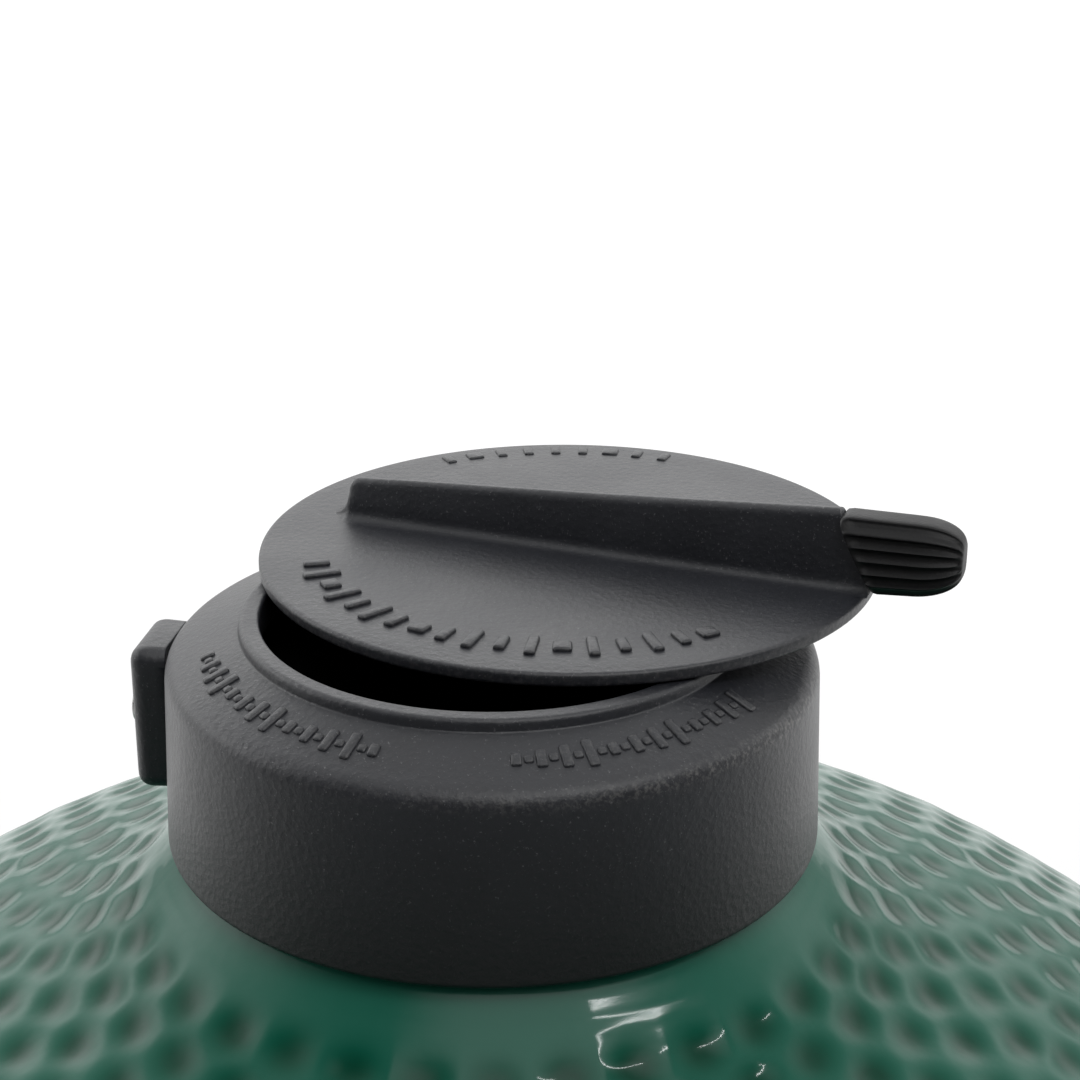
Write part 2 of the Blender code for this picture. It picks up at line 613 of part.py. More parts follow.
def make_draft_door():
    low, high = 0.070, 0.135
    back = CHIN_R + GAP
    shelf, lip, out = 0.005, 0.009, back + 0.0092
    channel = [(back, low), (out, low), (out, low + lip), (out - 0.0022, low + lip),
               (out - 0.0022, low + shelf), (back + 0.002, low + shelf),
               (back + 0.002, high - shelf), (out - 0.0022, high - shelf),
               (out - 0.0022, high - lip), (out, high - lip), (out, high), (back, high)]
    frame = sector("draft_frame", channel, FRONT - FRAME_HALF, FRONT + FRAME_HALF, "bright_steel", 14)
    cut(frame, curved_panel("window_cutter", back - 0.01, back + 0.004, DRAFT_LOW, DRAFT_HIGH,
                            -DRAFT_HALF, DRAFT_HALF, None, 6))
    panel_low, panel_high = low + 0.0055, high - 0.0055
    screen_in = back + 0.0025
    screen = curved_panel("ember_screen", screen_in, screen_in + 0.0014, panel_low, panel_high,
                          -PANEL_HALF - math.radians(2.5), PANEL_HALF, "bright_steel", 8)
    for row in range(3):
        for column in range(5):
            azimuth = FRONT + math.radians(-6.8 + 3.4 * column)
            z = DRAFT_LOW + 0.0095 + 0.013 * row
            hole = rod(f"screen_hole_cutter_{row}_{column}", 0.0038, CHIN_R - 0.005,
                       CHIN_R + 0.015, segments=8)
            cut(screen, aim(hole, (0, 0, z), at_azimuth(1, azimuth)))
    door_in = screen_in + 0.0020
    curved_panel("draft_door", door_in, door_in + 0.0015, panel_low, panel_high, -PANEL_HALF,
                 PANEL_HALF, "bright_steel", 8)
    middle = (low + high) / 2
    for name, start, azimuth in (("draft_door_knob", door_in + 0.0015 + 2 * GAP, math.radians(7.5)),
                                 ("ember_screen_knob", screen_in + 0.0014 + 2 * GAP, math.radians(-12.2))):
        tip = CHIN_R + 0.026
        profile = [(0, tip), (0.0045, tip), (0.006, tip - 0.002), (0.006, tip - 0.006),
                   (0.0025, tip - 0.008), (0.0025, start), (0, start)]
        knob = turned(name, profile, "black_silicone", closed=False, steps=14)
        aim(knob, (0, 0, middle), at_azimuth(1, FRONT + azimuth))


# ---- vent cap ----
def cap_profile(points):
    """Points given from the vent ring's underside, raised to the ring's place."""
    return [(r, z + RING_Z) for r, z in points]


def make_vent_ring():
    wall_in = RING_R - RING_WALL
    points = [(LIP_R, LIP_H - 0.001), (LIP_R + 0.001, LIP_H), (LIP_OUT_R - 0.001, LIP_H),
              (LIP_OUT_R, LIP_H - 0.001), (LIP_OUT_R + 0.0006, LIP_H - 0.0036),
              (LIP_OUT_R + 0.0024, LIP_H - 0.0044), (SHOULDER_R - 0.0036, SHOULDER_H + 0.0018),
              (SHOULDER_R - 0.0012, SHOULDER_H), (SHOULDER_R, SHOULDER_H - 0.0040),
              (RING_R, 0.0015), (RING_R - 0.0012, 0.0), (wall_in, 0.0), (wall_in, 0.0330),
              (0.0645, 0.0405), (LIP_R, 0.0430)]
    ring = turned("vent_ring", cap_profile(points), "cast_iron", steps=CAP_ROUND)
    x, y, _ = at_azimuth(PIVOT_R, PIVOT_AZ)
    low, high = RING_Z + LIP_H - 0.0118, RING_Z + LIP_H - 0.0006
    boss = rod("pivot_boss", 0.0085, low, high, segments=20)
    boss.location = (x, y, 0)
    web = box("pivot_web", (PIVOT_R - 0.002, -0.006, low + 0.001), (0.0575, 0.006, high - 0.002))
    web.rotation_euler = (0, 0, PIVOT_AZ)
    bore = rod("pivot_bore_cutter", 0.0045 + GAP, low - 0.02, high + 0.02, segments=20)
    bore.location = (x, y, 0)
    join(ring, boss, web)
    cut(ring, bore)
    hole = rod("clamp_hole_cutter", 0.003 + GAP, 0.060, 0.085, segments=12)
    cut(ring, aim(hole, (0, 0, RING_Z + 0.022), at_azimuth(1, CLAMP_AZ)))
    return ring


def make_clamp():
    """The block on the ring's side, and the screw that tightens the ring on its gasket."""
    inner = RING_R + GAP
    profile = [(inner, RING_Z + 0.004), (inner + 0.0035, RING_Z + 0.004), (inner + 0.0076, RING_Z + 0.010),
               (inner + 0.0080, RING_Z + 0.016), (inner + 0.0080, RING_Z + 0.0355),
               (inner + 0.0067, RING_Z + 0.0387), (inner + 0.0035, RING_Z + 0.0400),
               (SHOULDER_R + GAP, RING_Z + 0.0400)]
    half = math.radians(8.0)
    block = sector("clamp_block", profile, CLAMP_AZ - half, CLAMP_AZ + half, "cast_iron", steps=5)
    hole = rod("clamp_block_cutter", 0.003 + GAP, 0.060, 0.110, segments=12)
    cut(block, aim(hole, (0, 0, RING_Z + 0.022), at_azimuth(1, CLAMP_AZ)))
    start, face = 0.0705, inner + 0.0083
    profile = [(0, face + 0.0016), (0.0043, face + 0.0012), (0.0050, face), (0.003, face),
               (0.003, start), (0, start)]
    screw = turned("clamp_screw", profile, "bright_steel", closed=False, steps=16)
    aim(screw, (0, 0, RING_Z + 0.022), at_azimuth(1, CLAMP_AZ))
    flat_ring("vent_gasket", NECK_R + GAP, RING_R - RING_WALL - GAP, RING_Z + 0.003, RING_Z + 0.026,
              "black_silicone", steps=CAP_ROUND)


def vent_pivot():
    """An empty on the pivot's axis, turned by as much as the disc stands open."""
    empty = bpy.data.objects.new("vent_pivot", None)
    PARTS.objects.link(empty)
    empty.location = at_azimuth(PIVOT_R, PIVOT_AZ, RING_Z)
    empty.rotation_euler = (0, 0, VENT_OPEN)
    return empty


def on_lid(obj, turn=0.0):
    """Places a piece of the lid, made about the cap's axis, as if the lid were closed."""
    obj.location = -at_azimuth(PIVOT_R, PIVOT_AZ)
    obj.rotation_euler = (0, 0, turn)
    return obj


def fin_ring(along, top_along, height, foot):
    """A section of the fin; its top may stand further along than its foot."""
    face = LIP_H + 0.0004 + DISC_T
    sides = [(0.0062, foot), (0.0062, 0.0), (0.0036, 0.0022), (0.0019, height - 0.0012),
             (0.0009, height)]
    points = [(w, h) for w, h in sides] + [(-w, h) for w, h in reversed(sides)]
    return [(along + (top_along - along) * max(h, 0) / height, w, face + h) for w, h in points]


def make_vent_disc(pivot):
    low = LIP_H + 0.0004
    top = low + DISC_T
    profile = [(0, top), (DISC_R - 0.0012, top), (DISC_R - 0.0002, top - 0.0009),
               (DISC_R, low + 0.0012), (DISC_R - 0.0009, low), (0, low)]
    disc = on_lid(turned("vent_disc", profile, "cast_iron", closed=False, steps=CAP_ROUND, parent=pivot))
    root, tip = -0.0012, FIN_FOOT_END
    rings = [fin_ring(FIN_BACK, FIN_BACK, FIN_LOW, root),
             fin_ring(tip - 0.0015, FIN_TOP_END, FIN_HIGH, root)]
    fin = on_lid(loft("vent_fin", rings, parent=pivot), FIN_AZ)
    tang = on_lid(box("vent_tang", (FIN_TOP_END - 0.004, -0.0022, top + 0.004),
                      (GRIP_END - 0.009, 0.0022, top + 0.015), parent=pivot), FIN_AZ)
    stub = rod("vent_stub", 0.0045, low - 0.0128, low + 0.001, parent=pivot, segments=20)
    thread = rod("vent_thread", 0.0033, low - 0.0195, low - 0.012, parent=pivot, segments=16)
    return join(disc, fin, tang, stub, thread)


def grip_ring(along, slant, half_w, low, high, count=16):
    """A rounded section of the grip, with its top drawn back by the slant."""
    middle, half_h = (low + high) / 2, (high - low) / 2
    points = []
    for i in range(count):
        a = math.tau * i / count
        c, s = math.cos(a), math.sin(a)
        w = half_w * math.copysign(abs(c) ** 0.7, c)
        h = half_h * math.copysign(abs(s) ** 0.7, s)
        points.append((along - slant * (h / half_h + 1) / 2, w, middle + h))
    return points


def make_vent_grip(pivot):
    face = LIP_H + 0.0004 + DISC_T
    low, high = face + GRIP_LOW, face + GRIP_HIGH
    slant = FIN_FOOT_END - FIN_TOP_END
    start = FIN_FOOT_END + 0.0006
    rings = [grip_ring(start, slant, GRIP_HALF_W, low, high),
             grip_ring(GRIP_END - 0.008, 0, GRIP_HALF_W, low + 0.0003, high - 0.0012)]
    for i in range(1, 4):
        a = math.pi / 2 * i / 3.6
        keep = math.cos(a)
        rings.append(grip_ring(GRIP_END - 0.008 + 0.008 * math.sin(a), 0,
                               GRIP_HALF_W * (0.35 + 0.65 * keep),
                               low + 0.0003 + 0.006 * (1 - keep), high - 0.0012 - 0.006 * (1 - keep)))
    grip = on_lid(loft("vent_grip", rings, "black_silicone", pivot), FIN_AZ)
    pocket = on_lid(box("grip_pocket_cutter", (FIN_TOP_END - 0.02, -0.0022 - GAP, face + 0.004 - GAP),
                        (GRIP_END - 0.009 + GAP, 0.0022 + GAP, face + 0.015 + GAP), parent=pivot), FIN_AZ)
    return cut(grip, pocket)


def make_vent_pivot_parts(pivot):
    """The spring washer and the nut under the ring's boss, on the disc's stub."""
    flat_ring("vent_washer", 0.0045 + GAP, 0.0080, LIP_H - 0.0135, LIP_H - 0.0121, "bright_steel",
              20, pivot)
    hex_nut("vent_nut", 0.0075, 0.0033 + GAP, LIP_H - 0.0185, LIP_H - 0.0138, pivot)


# ---- feet ----
def make_feet():
    top = BASE_BOTTOM - GAP
    profile = [(0.086, 0.003), (0.089, 0), (0.149, 0), (0.152, 0.003), (0.146, top), (0.092, top)]
    for i in range(3):
        azimuth = math.radians(90 + 120 * i)
        half = math.radians(17)
        sector(f"foot_{i + 1}", profile, azimuth - half, azimuth + half, "raw_ceramic", steps=6)


clear_scene()
PARTS = new_collection("kamado_cooker")
CUTTERS = new_collection("cutters")
CUTTERS.hide_render = True

gauge = gauge_axis()
make_base()
make_dome(gauge)
make_firebox()
make_fire_ring()
make_fire_grate()
make_cooking_grid()
make_gaskets()
make_band("lower_band", LOWER_BAND, math.pi)
make_band("upper_band", UPPER_BAND, 0.0)
make_hinge()
make_handle()
make_thermometer(gauge)
make_draft_door()
make_vent_ring()
make_clamp()
lid_pivot = vent_pivot()
make_vent_disc(lid_pivot)
make_vent_grip(lid_pivot)
make_vent_pivot_parts(lid_pivot)
make_feet()
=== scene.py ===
"""Looks of the ceramic kamado cooker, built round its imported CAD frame. Metres, +Z up, front at -Y."""

import json
import math

import bmesh
import bpy
import numpy as np
from mathutils import Matrix, Vector


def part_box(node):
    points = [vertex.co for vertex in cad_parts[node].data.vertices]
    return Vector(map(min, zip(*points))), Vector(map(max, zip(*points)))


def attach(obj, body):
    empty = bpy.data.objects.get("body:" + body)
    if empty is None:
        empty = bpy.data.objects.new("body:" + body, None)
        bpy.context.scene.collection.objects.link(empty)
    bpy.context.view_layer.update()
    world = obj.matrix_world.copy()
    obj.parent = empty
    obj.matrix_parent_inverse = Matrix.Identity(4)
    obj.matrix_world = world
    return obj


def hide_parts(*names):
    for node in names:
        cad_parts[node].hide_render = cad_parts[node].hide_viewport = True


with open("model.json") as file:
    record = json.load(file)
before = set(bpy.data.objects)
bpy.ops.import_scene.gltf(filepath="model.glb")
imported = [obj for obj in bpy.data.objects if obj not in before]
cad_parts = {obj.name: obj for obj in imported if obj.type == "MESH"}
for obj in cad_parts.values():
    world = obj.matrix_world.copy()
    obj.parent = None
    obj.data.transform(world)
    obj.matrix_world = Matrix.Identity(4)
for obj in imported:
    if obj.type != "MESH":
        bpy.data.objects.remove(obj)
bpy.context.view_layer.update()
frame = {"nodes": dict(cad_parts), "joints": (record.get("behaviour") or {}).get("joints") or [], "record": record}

TAU = math.tau
FRONT = -math.pi / 2
JOINTS = {joint["name"]: joint for joint in frame["joints"]}

# ---- places and sizes read from the frame ----
RING_LOW, RING_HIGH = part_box("vent_ring")
CAP_Z = RING_LOW.z                                   # underside of the vent ring
RING_R = (RING_HIGH.y - RING_LOW.y) / 2
RIM_R = (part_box("dome_shell")[1].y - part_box("dome_shell")[0].y) / 2
DOME_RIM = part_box("dome_shell")[0].z
NECK_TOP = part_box("dome_shell")[1].z
BASE_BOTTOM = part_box("base_shell")[0].z
BASE_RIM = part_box("base_shell")[1].z
PIVOT = Vector(JOINTS["vent_swing"]["pos_m"])
PIVOT_R, PIVOT_AZ = math.hypot(PIVOT.x, PIVOT.y), math.atan2(PIVOT.y, PIVOT.x)
VENT_OPEN = -math.radians(JOINTS["vent_swing"]["range_deg"][0])
HINGE = Vector(JOINTS["dome_hinge"]["pos_m"])
GAUGE = Vector(JOINTS["needle_turn"]["pos_m"])
GAUGE_OUT = -Vector(JOINTS["needle_turn"]["axis"]).normalized()

# ---- driving proportions of the cooker, in metres ----
CENTRE_Z = 0.435              # widest section of both shells
DOME_RISE = 0.218             # the dome ellipsoid's vertical half axis
BASE_DROP = 0.499             # the base ellipsoid's
WALL = 0.025
DENT = 0.00110                # depth of a dimple of middling size
NECK_R, THROAT_R, FLARE_R = 0.066, 0.047, 0.110
FLARE_TOP_R, FLARE_TOP_SLOPE = 0.070, -1.11       # the flare starts just under the ring
LIP_R, LIP_OUT_R, LIP_H = 0.0522, 0.0566, 0.0515
SHOULDER_R, SHOULDER_H = 0.0737, 0.042
DISC_R, DISC_T, DISC_LIFT = 0.073, 0.0033, 0.0004
FIN_AZ = math.radians(-65.6)  # the fin's direction with the disc closed
FIN_BACK, FIN_LOW, FIN_HIGH = -0.0558, 0.0095, 0.0180
FIN_TOP_END, FIN_FOOT_END = 0.065, 0.0735
GRIP_END, GRIP_HALF_W, GRIP_LOW, GRIP_HIGH = 0.0935, 0.0068, 0.0008, 0.0200
CLAMP_AZ = math.radians(170)
OPENING_LOW, OPENING_HIGH, OPENING_HALF_W = 0.080, 0.125, 0.0345     # the draft opening


# ---- mesh helpers ----
def placed(name, data):
    """An object in the scene from a mesh, a light or a camera."""
    obj = bpy.data.objects.new(name, data)
    bpy.context.scene.collection.objects.link(obj)
    return obj


def smoothed(mesh, sharp=None):
    """Shades a mesh smooth, but for edges past an angle in degrees."""
    mesh.shade_smooth()
    if sharp:
        mesh.set_sharp_from_angle(angle=math.radians(sharp))


def from_bmesh(name, bm, sharp):
    """An object from a bmesh, shaded smooth when it has an angle for its sharp edges."""
    mesh = bpy.data.meshes.new(name)
    bm.to_mesh(mesh)
    bm.free()
    if sharp:
        smoothed(mesh, sharp)
    return placed(name, mesh)


def mesh_object(name, points, faces, sharp=None):
    """A mesh object from points and faces, with its normals made consistent."""
    mesh = bpy.data.meshes.new(name)
    mesh.from_pydata([tuple(p) for p in points], [], faces)
    bm = bmesh.new()
    bm.from_mesh(mesh)
    bmesh.ops.remove_doubles(bm, verts=bm.verts, dist=1e-7)
    bmesh.ops.recalc_face_normals(bm, faces=bm.faces)
    bm.to_mesh(mesh)
    bm.free()
    smoothed(mesh, sharp)
    return placed(name, mesh)


def finish_piece(obj, body, slot, *nodes):
    """Gives a piece its body and its slot's material, and hides the CAD nodes it stands for."""
    obj.data.materials.clear()
    obj.data.materials.append(SLOT_LOOKS[slot])
    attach(obj, body)
    if nodes:
        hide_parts(*nodes)


def soften(points, radius, count=5, closed=True):
    """An outline with its corners rounded. A point's third value is its own radius."""
    made = []
    total = len(points)
    for i, point in enumerate(points):
        here = np.array(point[:2], float)
        size = point[2] if len(point) > 2 else radius
        if not closed and i in (0, total - 1) or size <= 0:
            made.append(tuple(here))
            continue
        to_last = np.array(points[i - 1][:2], float) - here
        to_next = np.array(points[(i + 1) % total][:2], float) - here
        reach_last, reach_next = np.linalg.norm(to_last), np.linalg.norm(to_next)
        u, v = to_last / reach_last, to_next / reach_next
        bend = math.acos(max(-1.0, min(1.0, float(u @ v))))
        if bend > math.pi - 0.02:
            made.append(tuple(here))
            continue
        cut = min(size / math.tan(bend / 2), reach_last * 0.45, reach_next * 0.45)
        a, b = here + u * cut, here + v * cut
        hold = cut * 0.25
        made.append(tuple(a + u * min(hold, reach_last * 0.04)))
        for k in range(count + 1):
            t = k / count
            made.append(tuple(a * (1 - t) ** 2 + 2 * here * t * (1 - t) + b * t * t))
        made.append(tuple(b + v * min(hold, reach_next * 0.04)))
    return made


def lathe(name, profile, steps=128, closed=True, start=0.0, sweep=TAU, axis=None, sharp=None):
    """A profile in radius and height turned round Z, or round another axis given as a matrix."""
    whole = abs(sweep - TAU) < 1e-9
    columns = steps if whole else steps + 1
    angles = [start + sweep * i / steps for i in range(columns)]
    points = [(r * math.cos(a), r * math.sin(a), z) for a in angles for r, z in profile]
    rows = len(profile)
    faces = []
    for i in range(steps):
        near, far = i * rows, (i + 1) % columns * rows
        for j in range(rows if closed else rows - 1):
            k = (j + 1) % rows
            corners = (near + j, far + j, far + k, near + k)
            on_axis = [profile[j][0] < 1e-9, profile[k][0] < 1e-9]
            if all(on_axis):
                continue
            if on_axis[0]:
                corners = (near + j, far + k, near + k)
            elif on_axis[1]:
                corners = (near + j, far + j, near + k)
            faces.append(corners)
    if not whole:
        faces += [tuple(range(rows)), tuple(range((columns - 1) * rows, columns * rows))]
    obj = mesh_object(name, points, faces, sharp=sharp)
    if axis is not None:
        obj.data.transform(axis)
    return obj


def loft(name, rings, sharp=None):
    """A closed body through rings of points, with a flat cap at each end."""
    count = len(rings[0])
    points = [p for ring in rings for p in ring]
    faces = []
    for i in range(len(rings) - 1):
        for j in range(count):
            k = (j + 1) % count
            faces.append((i * count + j, i * count + k, (i + 1) * count + k, (i + 1) * count + j))
    faces += [tuple(range(count)), tuple(range(len(points) - count, len(points)))]
    return mesh_object(name, points, faces, sharp=sharp)


def block(name, low, high, round_by=0.001, segments=3, turn=None):
    """A box with rounded edges."""
    bm = bmesh.new()
    bmesh.ops.create_cube(bm, size=1.0)
    low, high = Vector(low), Vector(high)
    bmesh.ops.scale(bm, vec=high - low, verts=bm.verts)
    bmesh.ops.translate(bm, vec=(low + high) / 2, verts=bm.verts)
    bmesh.ops.bevel(bm, geom=bm.edges[:], offset=round_by, segments=segments, profile=0.5,
                    affect="EDGES")
    if turn is not None:
        bmesh.ops.transform(bm, matrix=turn, verts=bm.verts)
    mesh = bpy.data.meshes.new(name)
    bm.to_mesh(mesh)
    bm.free()
    mesh.shade_smooth()
    return placed(name, mesh)


def extruded(name, outline, half, turn, round_by=0.0006):
    """A flat outline in its own XY plane, thick along its Z, with rounded edges."""
    bm = bmesh.new()
    face = bm.faces.new([bm.verts.new((x, y, -half)) for x, y in outline])
    lifted = bmesh.ops.extrude_face_region(bm, geom=[face])
    moved = [g for g in lifted["geom"] if isinstance(g, bmesh.types.BMVert)]
    bmesh.ops.translate(bm, vec=(0, 0, 2 * half), verts=moved)
    bmesh.ops.recalc_face_normals(bm, faces=bm.faces)
    rim = [e for e in bm.edges if len(e.link_faces) == 2 and e.calc_face_angle(0) > 1.0]
    bmesh.ops.bevel(bm, geom=rim, offset=round_by, segments=3, profile=0.5, affect="EDGES")
    bmesh.ops.transform(bm, matrix=turn, verts=bm.verts)
    return from_bmesh(name, bm, 40)


def merged(name, *objects, sharp=None):
    """Several objects as one."""
    bm = bmesh.new()
    for obj in objects:
        other = obj.data.copy()
        other.transform(obj.matrix_world)
        bm.from_mesh(other)
        bpy.data.meshes.remove(other)
        bpy.data.objects.remove(obj, do_unlink=True)
    return from_bmesh(name, bm, sharp)


def frame_at(place, out, up=(0, 0, 1)):
    """A matrix at a place, its Z along out and its Y as near up as that allows."""
    z = Vector(out).normalized()
    x = Vector(up).cross(z).normalized()
    y = z.cross(x)
    return Matrix.Translation(place) @ Matrix((x, y, z)).transposed().to_4x4()


def rectangle(r0, z0, r1, z1):
    """A rectangle's outline from one corner to the opposite one."""
    return [(r0, z0), (r1, z0), (r1, z1), (r0, z1)]


def around(radius, azimuth, z=0.0):
    """A point at a radius and an azimuth about the cooker's axis."""
    return Vector((radius * math.cos(azimuth), radius * math.sin(azimuth), z))


# ---- materials ----
class Look:
    """A Principled material with short calls to wire its nodes."""

    def __init__(self, name, **values):
        self.material = bpy.data.materials.new(name)
        self.material.use_nodes = True
        self.nodes = self.material.node_tree.nodes
        self.links = self.material.node_tree.links
        self.shader = self.nodes["Principled BSDF"]
        self.place = self.node("ShaderNodeTexCoord").outputs["Object"]
        for key, value in values.items():
            self.shader.inputs[key.replace("_", " ")].default_value = value

    def node(self, kind, **settings):
        made = self.nodes.new(kind)
        for key, value in settings.items():
            setattr(made, key, value)
        return made

    def link(self, a, b):
        self.links.new(a, b)

    def noise(self, scale, detail=3.0, rough=0.5, stretch=None):
        made = self.node("ShaderNodeTexNoise")
        made.inputs["Scale"].default_value = scale
        made.inputs["Detail"].default_value = detail
        made.inputs["Roughness"].default_value = rough
        place = self.place
        if stretch:
            turn = self.node("ShaderNodeMapping")
            turn.inputs["Scale"].default_value = stretch
            self.link(place, turn.inputs["Vector"])
            place = turn.outputs["Vector"]
        self.link(place, made.inputs["Vector"])
        return made.outputs["Fac"]

    def cells(self, scale, feature="F1"):
        made = self.node("ShaderNodeTexVoronoi", feature=feature)
        made.inputs["Scale"].default_value = scale
        self.link(self.place, made.inputs["Vector"])
        return made.outputs["Distance"]

    def attribute(self, name):
        return self.node("ShaderNodeAttribute", attribute_name=name).outputs["Fac"]

    def ramp(self, source, *stops):
        made = self.node("ShaderNodeValToRGB")
        row = made.color_ramp.elements
        for i, (at, value) in enumerate(stops):
            element = row[i] if i < len(row) else row.new(at)
            element.position = at
            element.color = (value, value, value, 1) if isinstance(value, (int, float)) else (*value, 1)
        self.link(source, made.inputs["Fac"])
        return made.outputs["Color"]

    def math(self, kind, a, b):
        made = self.node("ShaderNodeMath", operation=kind)
        for socket, value in zip(made.inputs, (a, b)):
            if isinstance(value, (int, float)):
                socket.default_value = value
            else:
                self.link(value, socket)
        return made.outputs["Value"]

    def mix(self, share, a, b, blend="MIX"):
        made = self.node("ShaderNodeMix", data_type="RGBA", blend_type=blend)
        for name, value in (("Factor", share), ("A", a), ("B", b)):
            socket = next(s for s in made.inputs if s.name == name and s.type in
                          (("VALUE",) if name == "Factor" else ("RGBA",)))
            if isinstance(value, (int, float)):
                socket.default_value = value
            elif isinstance(value, tuple):
                socket.default_value = (*value, 1)
            else:
                self.link(value, socket)
        return next(s for s in made.outputs if s.type == "RGBA")

    def set(self, name, source):
        self.link(source, self.shader.inputs[name])

    def bump(self, *layers):
        """Layers of (height, distance in metres), the coarsest first."""
        normal = None
        for height, distance in layers:
            made = self.node("ShaderNodeBump")
            made.inputs["Distance"].default_value = distance
            self.link(height, made.inputs["Height"])
            if normal:
                self.link(normal, made.inputs["Normal"])
            normal = made.outputs["Normal"]
        self.set("Normal", normal)


def glaze_look():
    """Green glaze: deep where it pools in the dimples, paler and thinner on the ridges. Bare clay near the axis
    has painted shade.
    """
    look = Look("green_glaze", Roughness=0.25, Specular_IOR_Level=0.1, Coat_Roughness=0.07, IOR=1.5)
    pool = look.attribute("pool")
    cloud = look.noise(28, 4, 0.6)
    share = look.math("ADD", pool, look.math("MULTIPLY", look.math("SUBTRACT", cloud, 0.5), 0.5))
    colour = look.ramp(share, (0.0, (0.016, 0.130, 0.086)), (0.45, (0.004, 0.096, 0.058)),
                       (0.95, (0.0005, 0.056, 0.030)))
    bare = look.attribute("bare")
    clay = look.ramp(look.noise(35, 6, 0.65), (0.25, (0.42, 0.39, 0.35)), (0.75, (0.60, 0.57, 0.53)))
    # Painted shade: bare clay is near black within about 5 cm of the axis and fades back by 14 cm. This darkens
    # the throat and the middle of the base's floor.
    flat = look.node("ShaderNodeVectorMath", operation="MULTIPLY")
    flat.inputs[1].default_value = (1, 1, 0)
    look.link(look.place, flat.inputs[0])
    reach = look.node("ShaderNodeVectorMath", operation="LENGTH")
    look.link(flat.outputs["Vector"], reach.inputs[0])
    painted_shade_near_axis = look.ramp(reach.outputs["Value"], (0.055, 1.0), (0.14, 0.0))
    clay = look.mix(painted_shade_near_axis, clay, (0.010, 0.009, 0.009))
    look.set("Base Color", look.mix(bare, colour, clay))
    look.set("Roughness", look.math("ADD", 0.28, look.math("MULTIPLY", bare, 0.60)))
    look.set("Coat Weight", look.math("MULTIPLY", look.math("SUBTRACT", 1.0, bare), 0.28))
    look.bump((look.noise(55, 3, 0.5), 0.00045), (look.noise(420, 2, 0.5), 0.00003))
    return look.material


def cast_look():
    """Black powder coat over a sandy casting, rubbed paler on its edges, with a painted highlight where the
    attribute carries one. Below zero the attribute is painted shade.
    """
    look = Look("cast_powder_coat", IOR=1.5, Specular_IOR_Level=0.75)
    cloud = look.noise(40, 5, 0.6)
    grain = look.noise(1500, 3, 0.7)
    pits = look.cells(620)
    colour = look.ramp(cloud, (0.25, (0.010, 0.011, 0.015)), (0.75, (0.019, 0.021, 0.027)))
    specks = look.ramp(grain, (0.62, 0.0), (0.72, 1.0))
    colour = look.mix(look.math("MULTIPLY", specks, 0.7), colour, (0.17, 0.17, 0.175))
    wear_and_painted_light = look.math("MULTIPLY", look.attribute("wear_and_painted_light"),
                     look.ramp(look.noise(900, 4, 0.7), (0.48, 0.0), (0.62, 1.0)))
    colour = look.mix(wear_and_painted_light, colour, (0.12, 0.118, 0.115))
    # Painted shade: where the attribute is below zero, the coat is painted near black.
    painted_shade = look.math("MULTIPLY", look.attribute("wear_and_painted_light"), -0.85)
    look.set("Base Color", look.mix(painted_shade, colour, (0.0015, 0.0015, 0.002)))
    look.set("Roughness", look.ramp(cloud, (0.2, 0.38), (0.8, 0.48)))
    look.bump((look.noise(160, 4, 0.6), 0.00008), (pits, 0.00008), (grain, 0.00009))
    return look.material


def silicone_look():
    look = Look("black_silicone_rubber", IOR=1.43)
    cloud = look.noise(120, 4, 0.6)
    look.set("Base Color", look.ramp(cloud, (0.3, (0.003, 0.003, 0.0035)), (0.8, (0.008, 0.008, 0.009))))
    look.set("Roughness", look.ramp(cloud, (0.2, 0.42), (0.8, 0.58)))
    look.bump((look.noise(1800, 2, 0.5), 0.00006))
    return look.material


def felt_look():
    look = Look("wool_felt", Roughness=0.95, Sheen_Weight=0.4, Sheen_Roughness=0.5)
    fibre = look.noise(900, 5, 0.7)
    look.set("Base Color", look.ramp(fibre, (0.3, (0.16, 0.15, 0.14)), (0.7, (0.36, 0.34, 0.31))))
    look.bump((fibre, 0.0005))
    return look.material


def coated_steel_look():
    look = Look("coated_steel", IOR=1.5)
    cloud = look.noise(60, 4, 0.6)
    look.set("Base Color", look.ramp(cloud, (0.3, (0.022, 0.022, 0.023)), (0.8, (0.036, 0.036, 0.038))))
    look.set("Roughness", look.ramp(cloud, (0.2, 0.34), (0.8, 0.46)))
    look.bump((look.noise(900, 3, 0.6), 0.00008))
    return look.material


def steel_look():
    look = Look("brushed_stainless", Metallic=1.0)
    brush = look.noise(30, 4, 0.7, stretch=(1, 1, 60))
    smudge = look.noise(25, 4, 0.6)
    look.set("Base Color", look.ramp(smudge, (0.3, (0.50, 0.50, 0.50)), (0.8, (0.66, 0.655, 0.65))))
    look.set("Roughness", look.ramp(brush, (0.3, 0.24), (0.7, 0.40)))
    look.bump((brush, 0.00003))
    return look.material


def fire_clay_look():
    """Matt refractory ceramic, pale and slightly sooted."""
    look = Look("fire_clay", Roughness=0.92)
    cloud = look.noise(18, 6, 0.65)
    grit = look.noise(700, 4, 0.7)
    colour = look.ramp(cloud, (0.25, (0.36, 0.28, 0.21)), (0.75, (0.58, 0.49, 0.39)))
    look.set("Base Color", look.mix(look.ramp(grit, (0.35, 0.6), (0.5, 0.0)), colour, (0.20, 0.16, 0.13)))
    look.bump((look.noise(90, 4, 0.6), 0.0008), (grit, 0.0003))
    return look.material


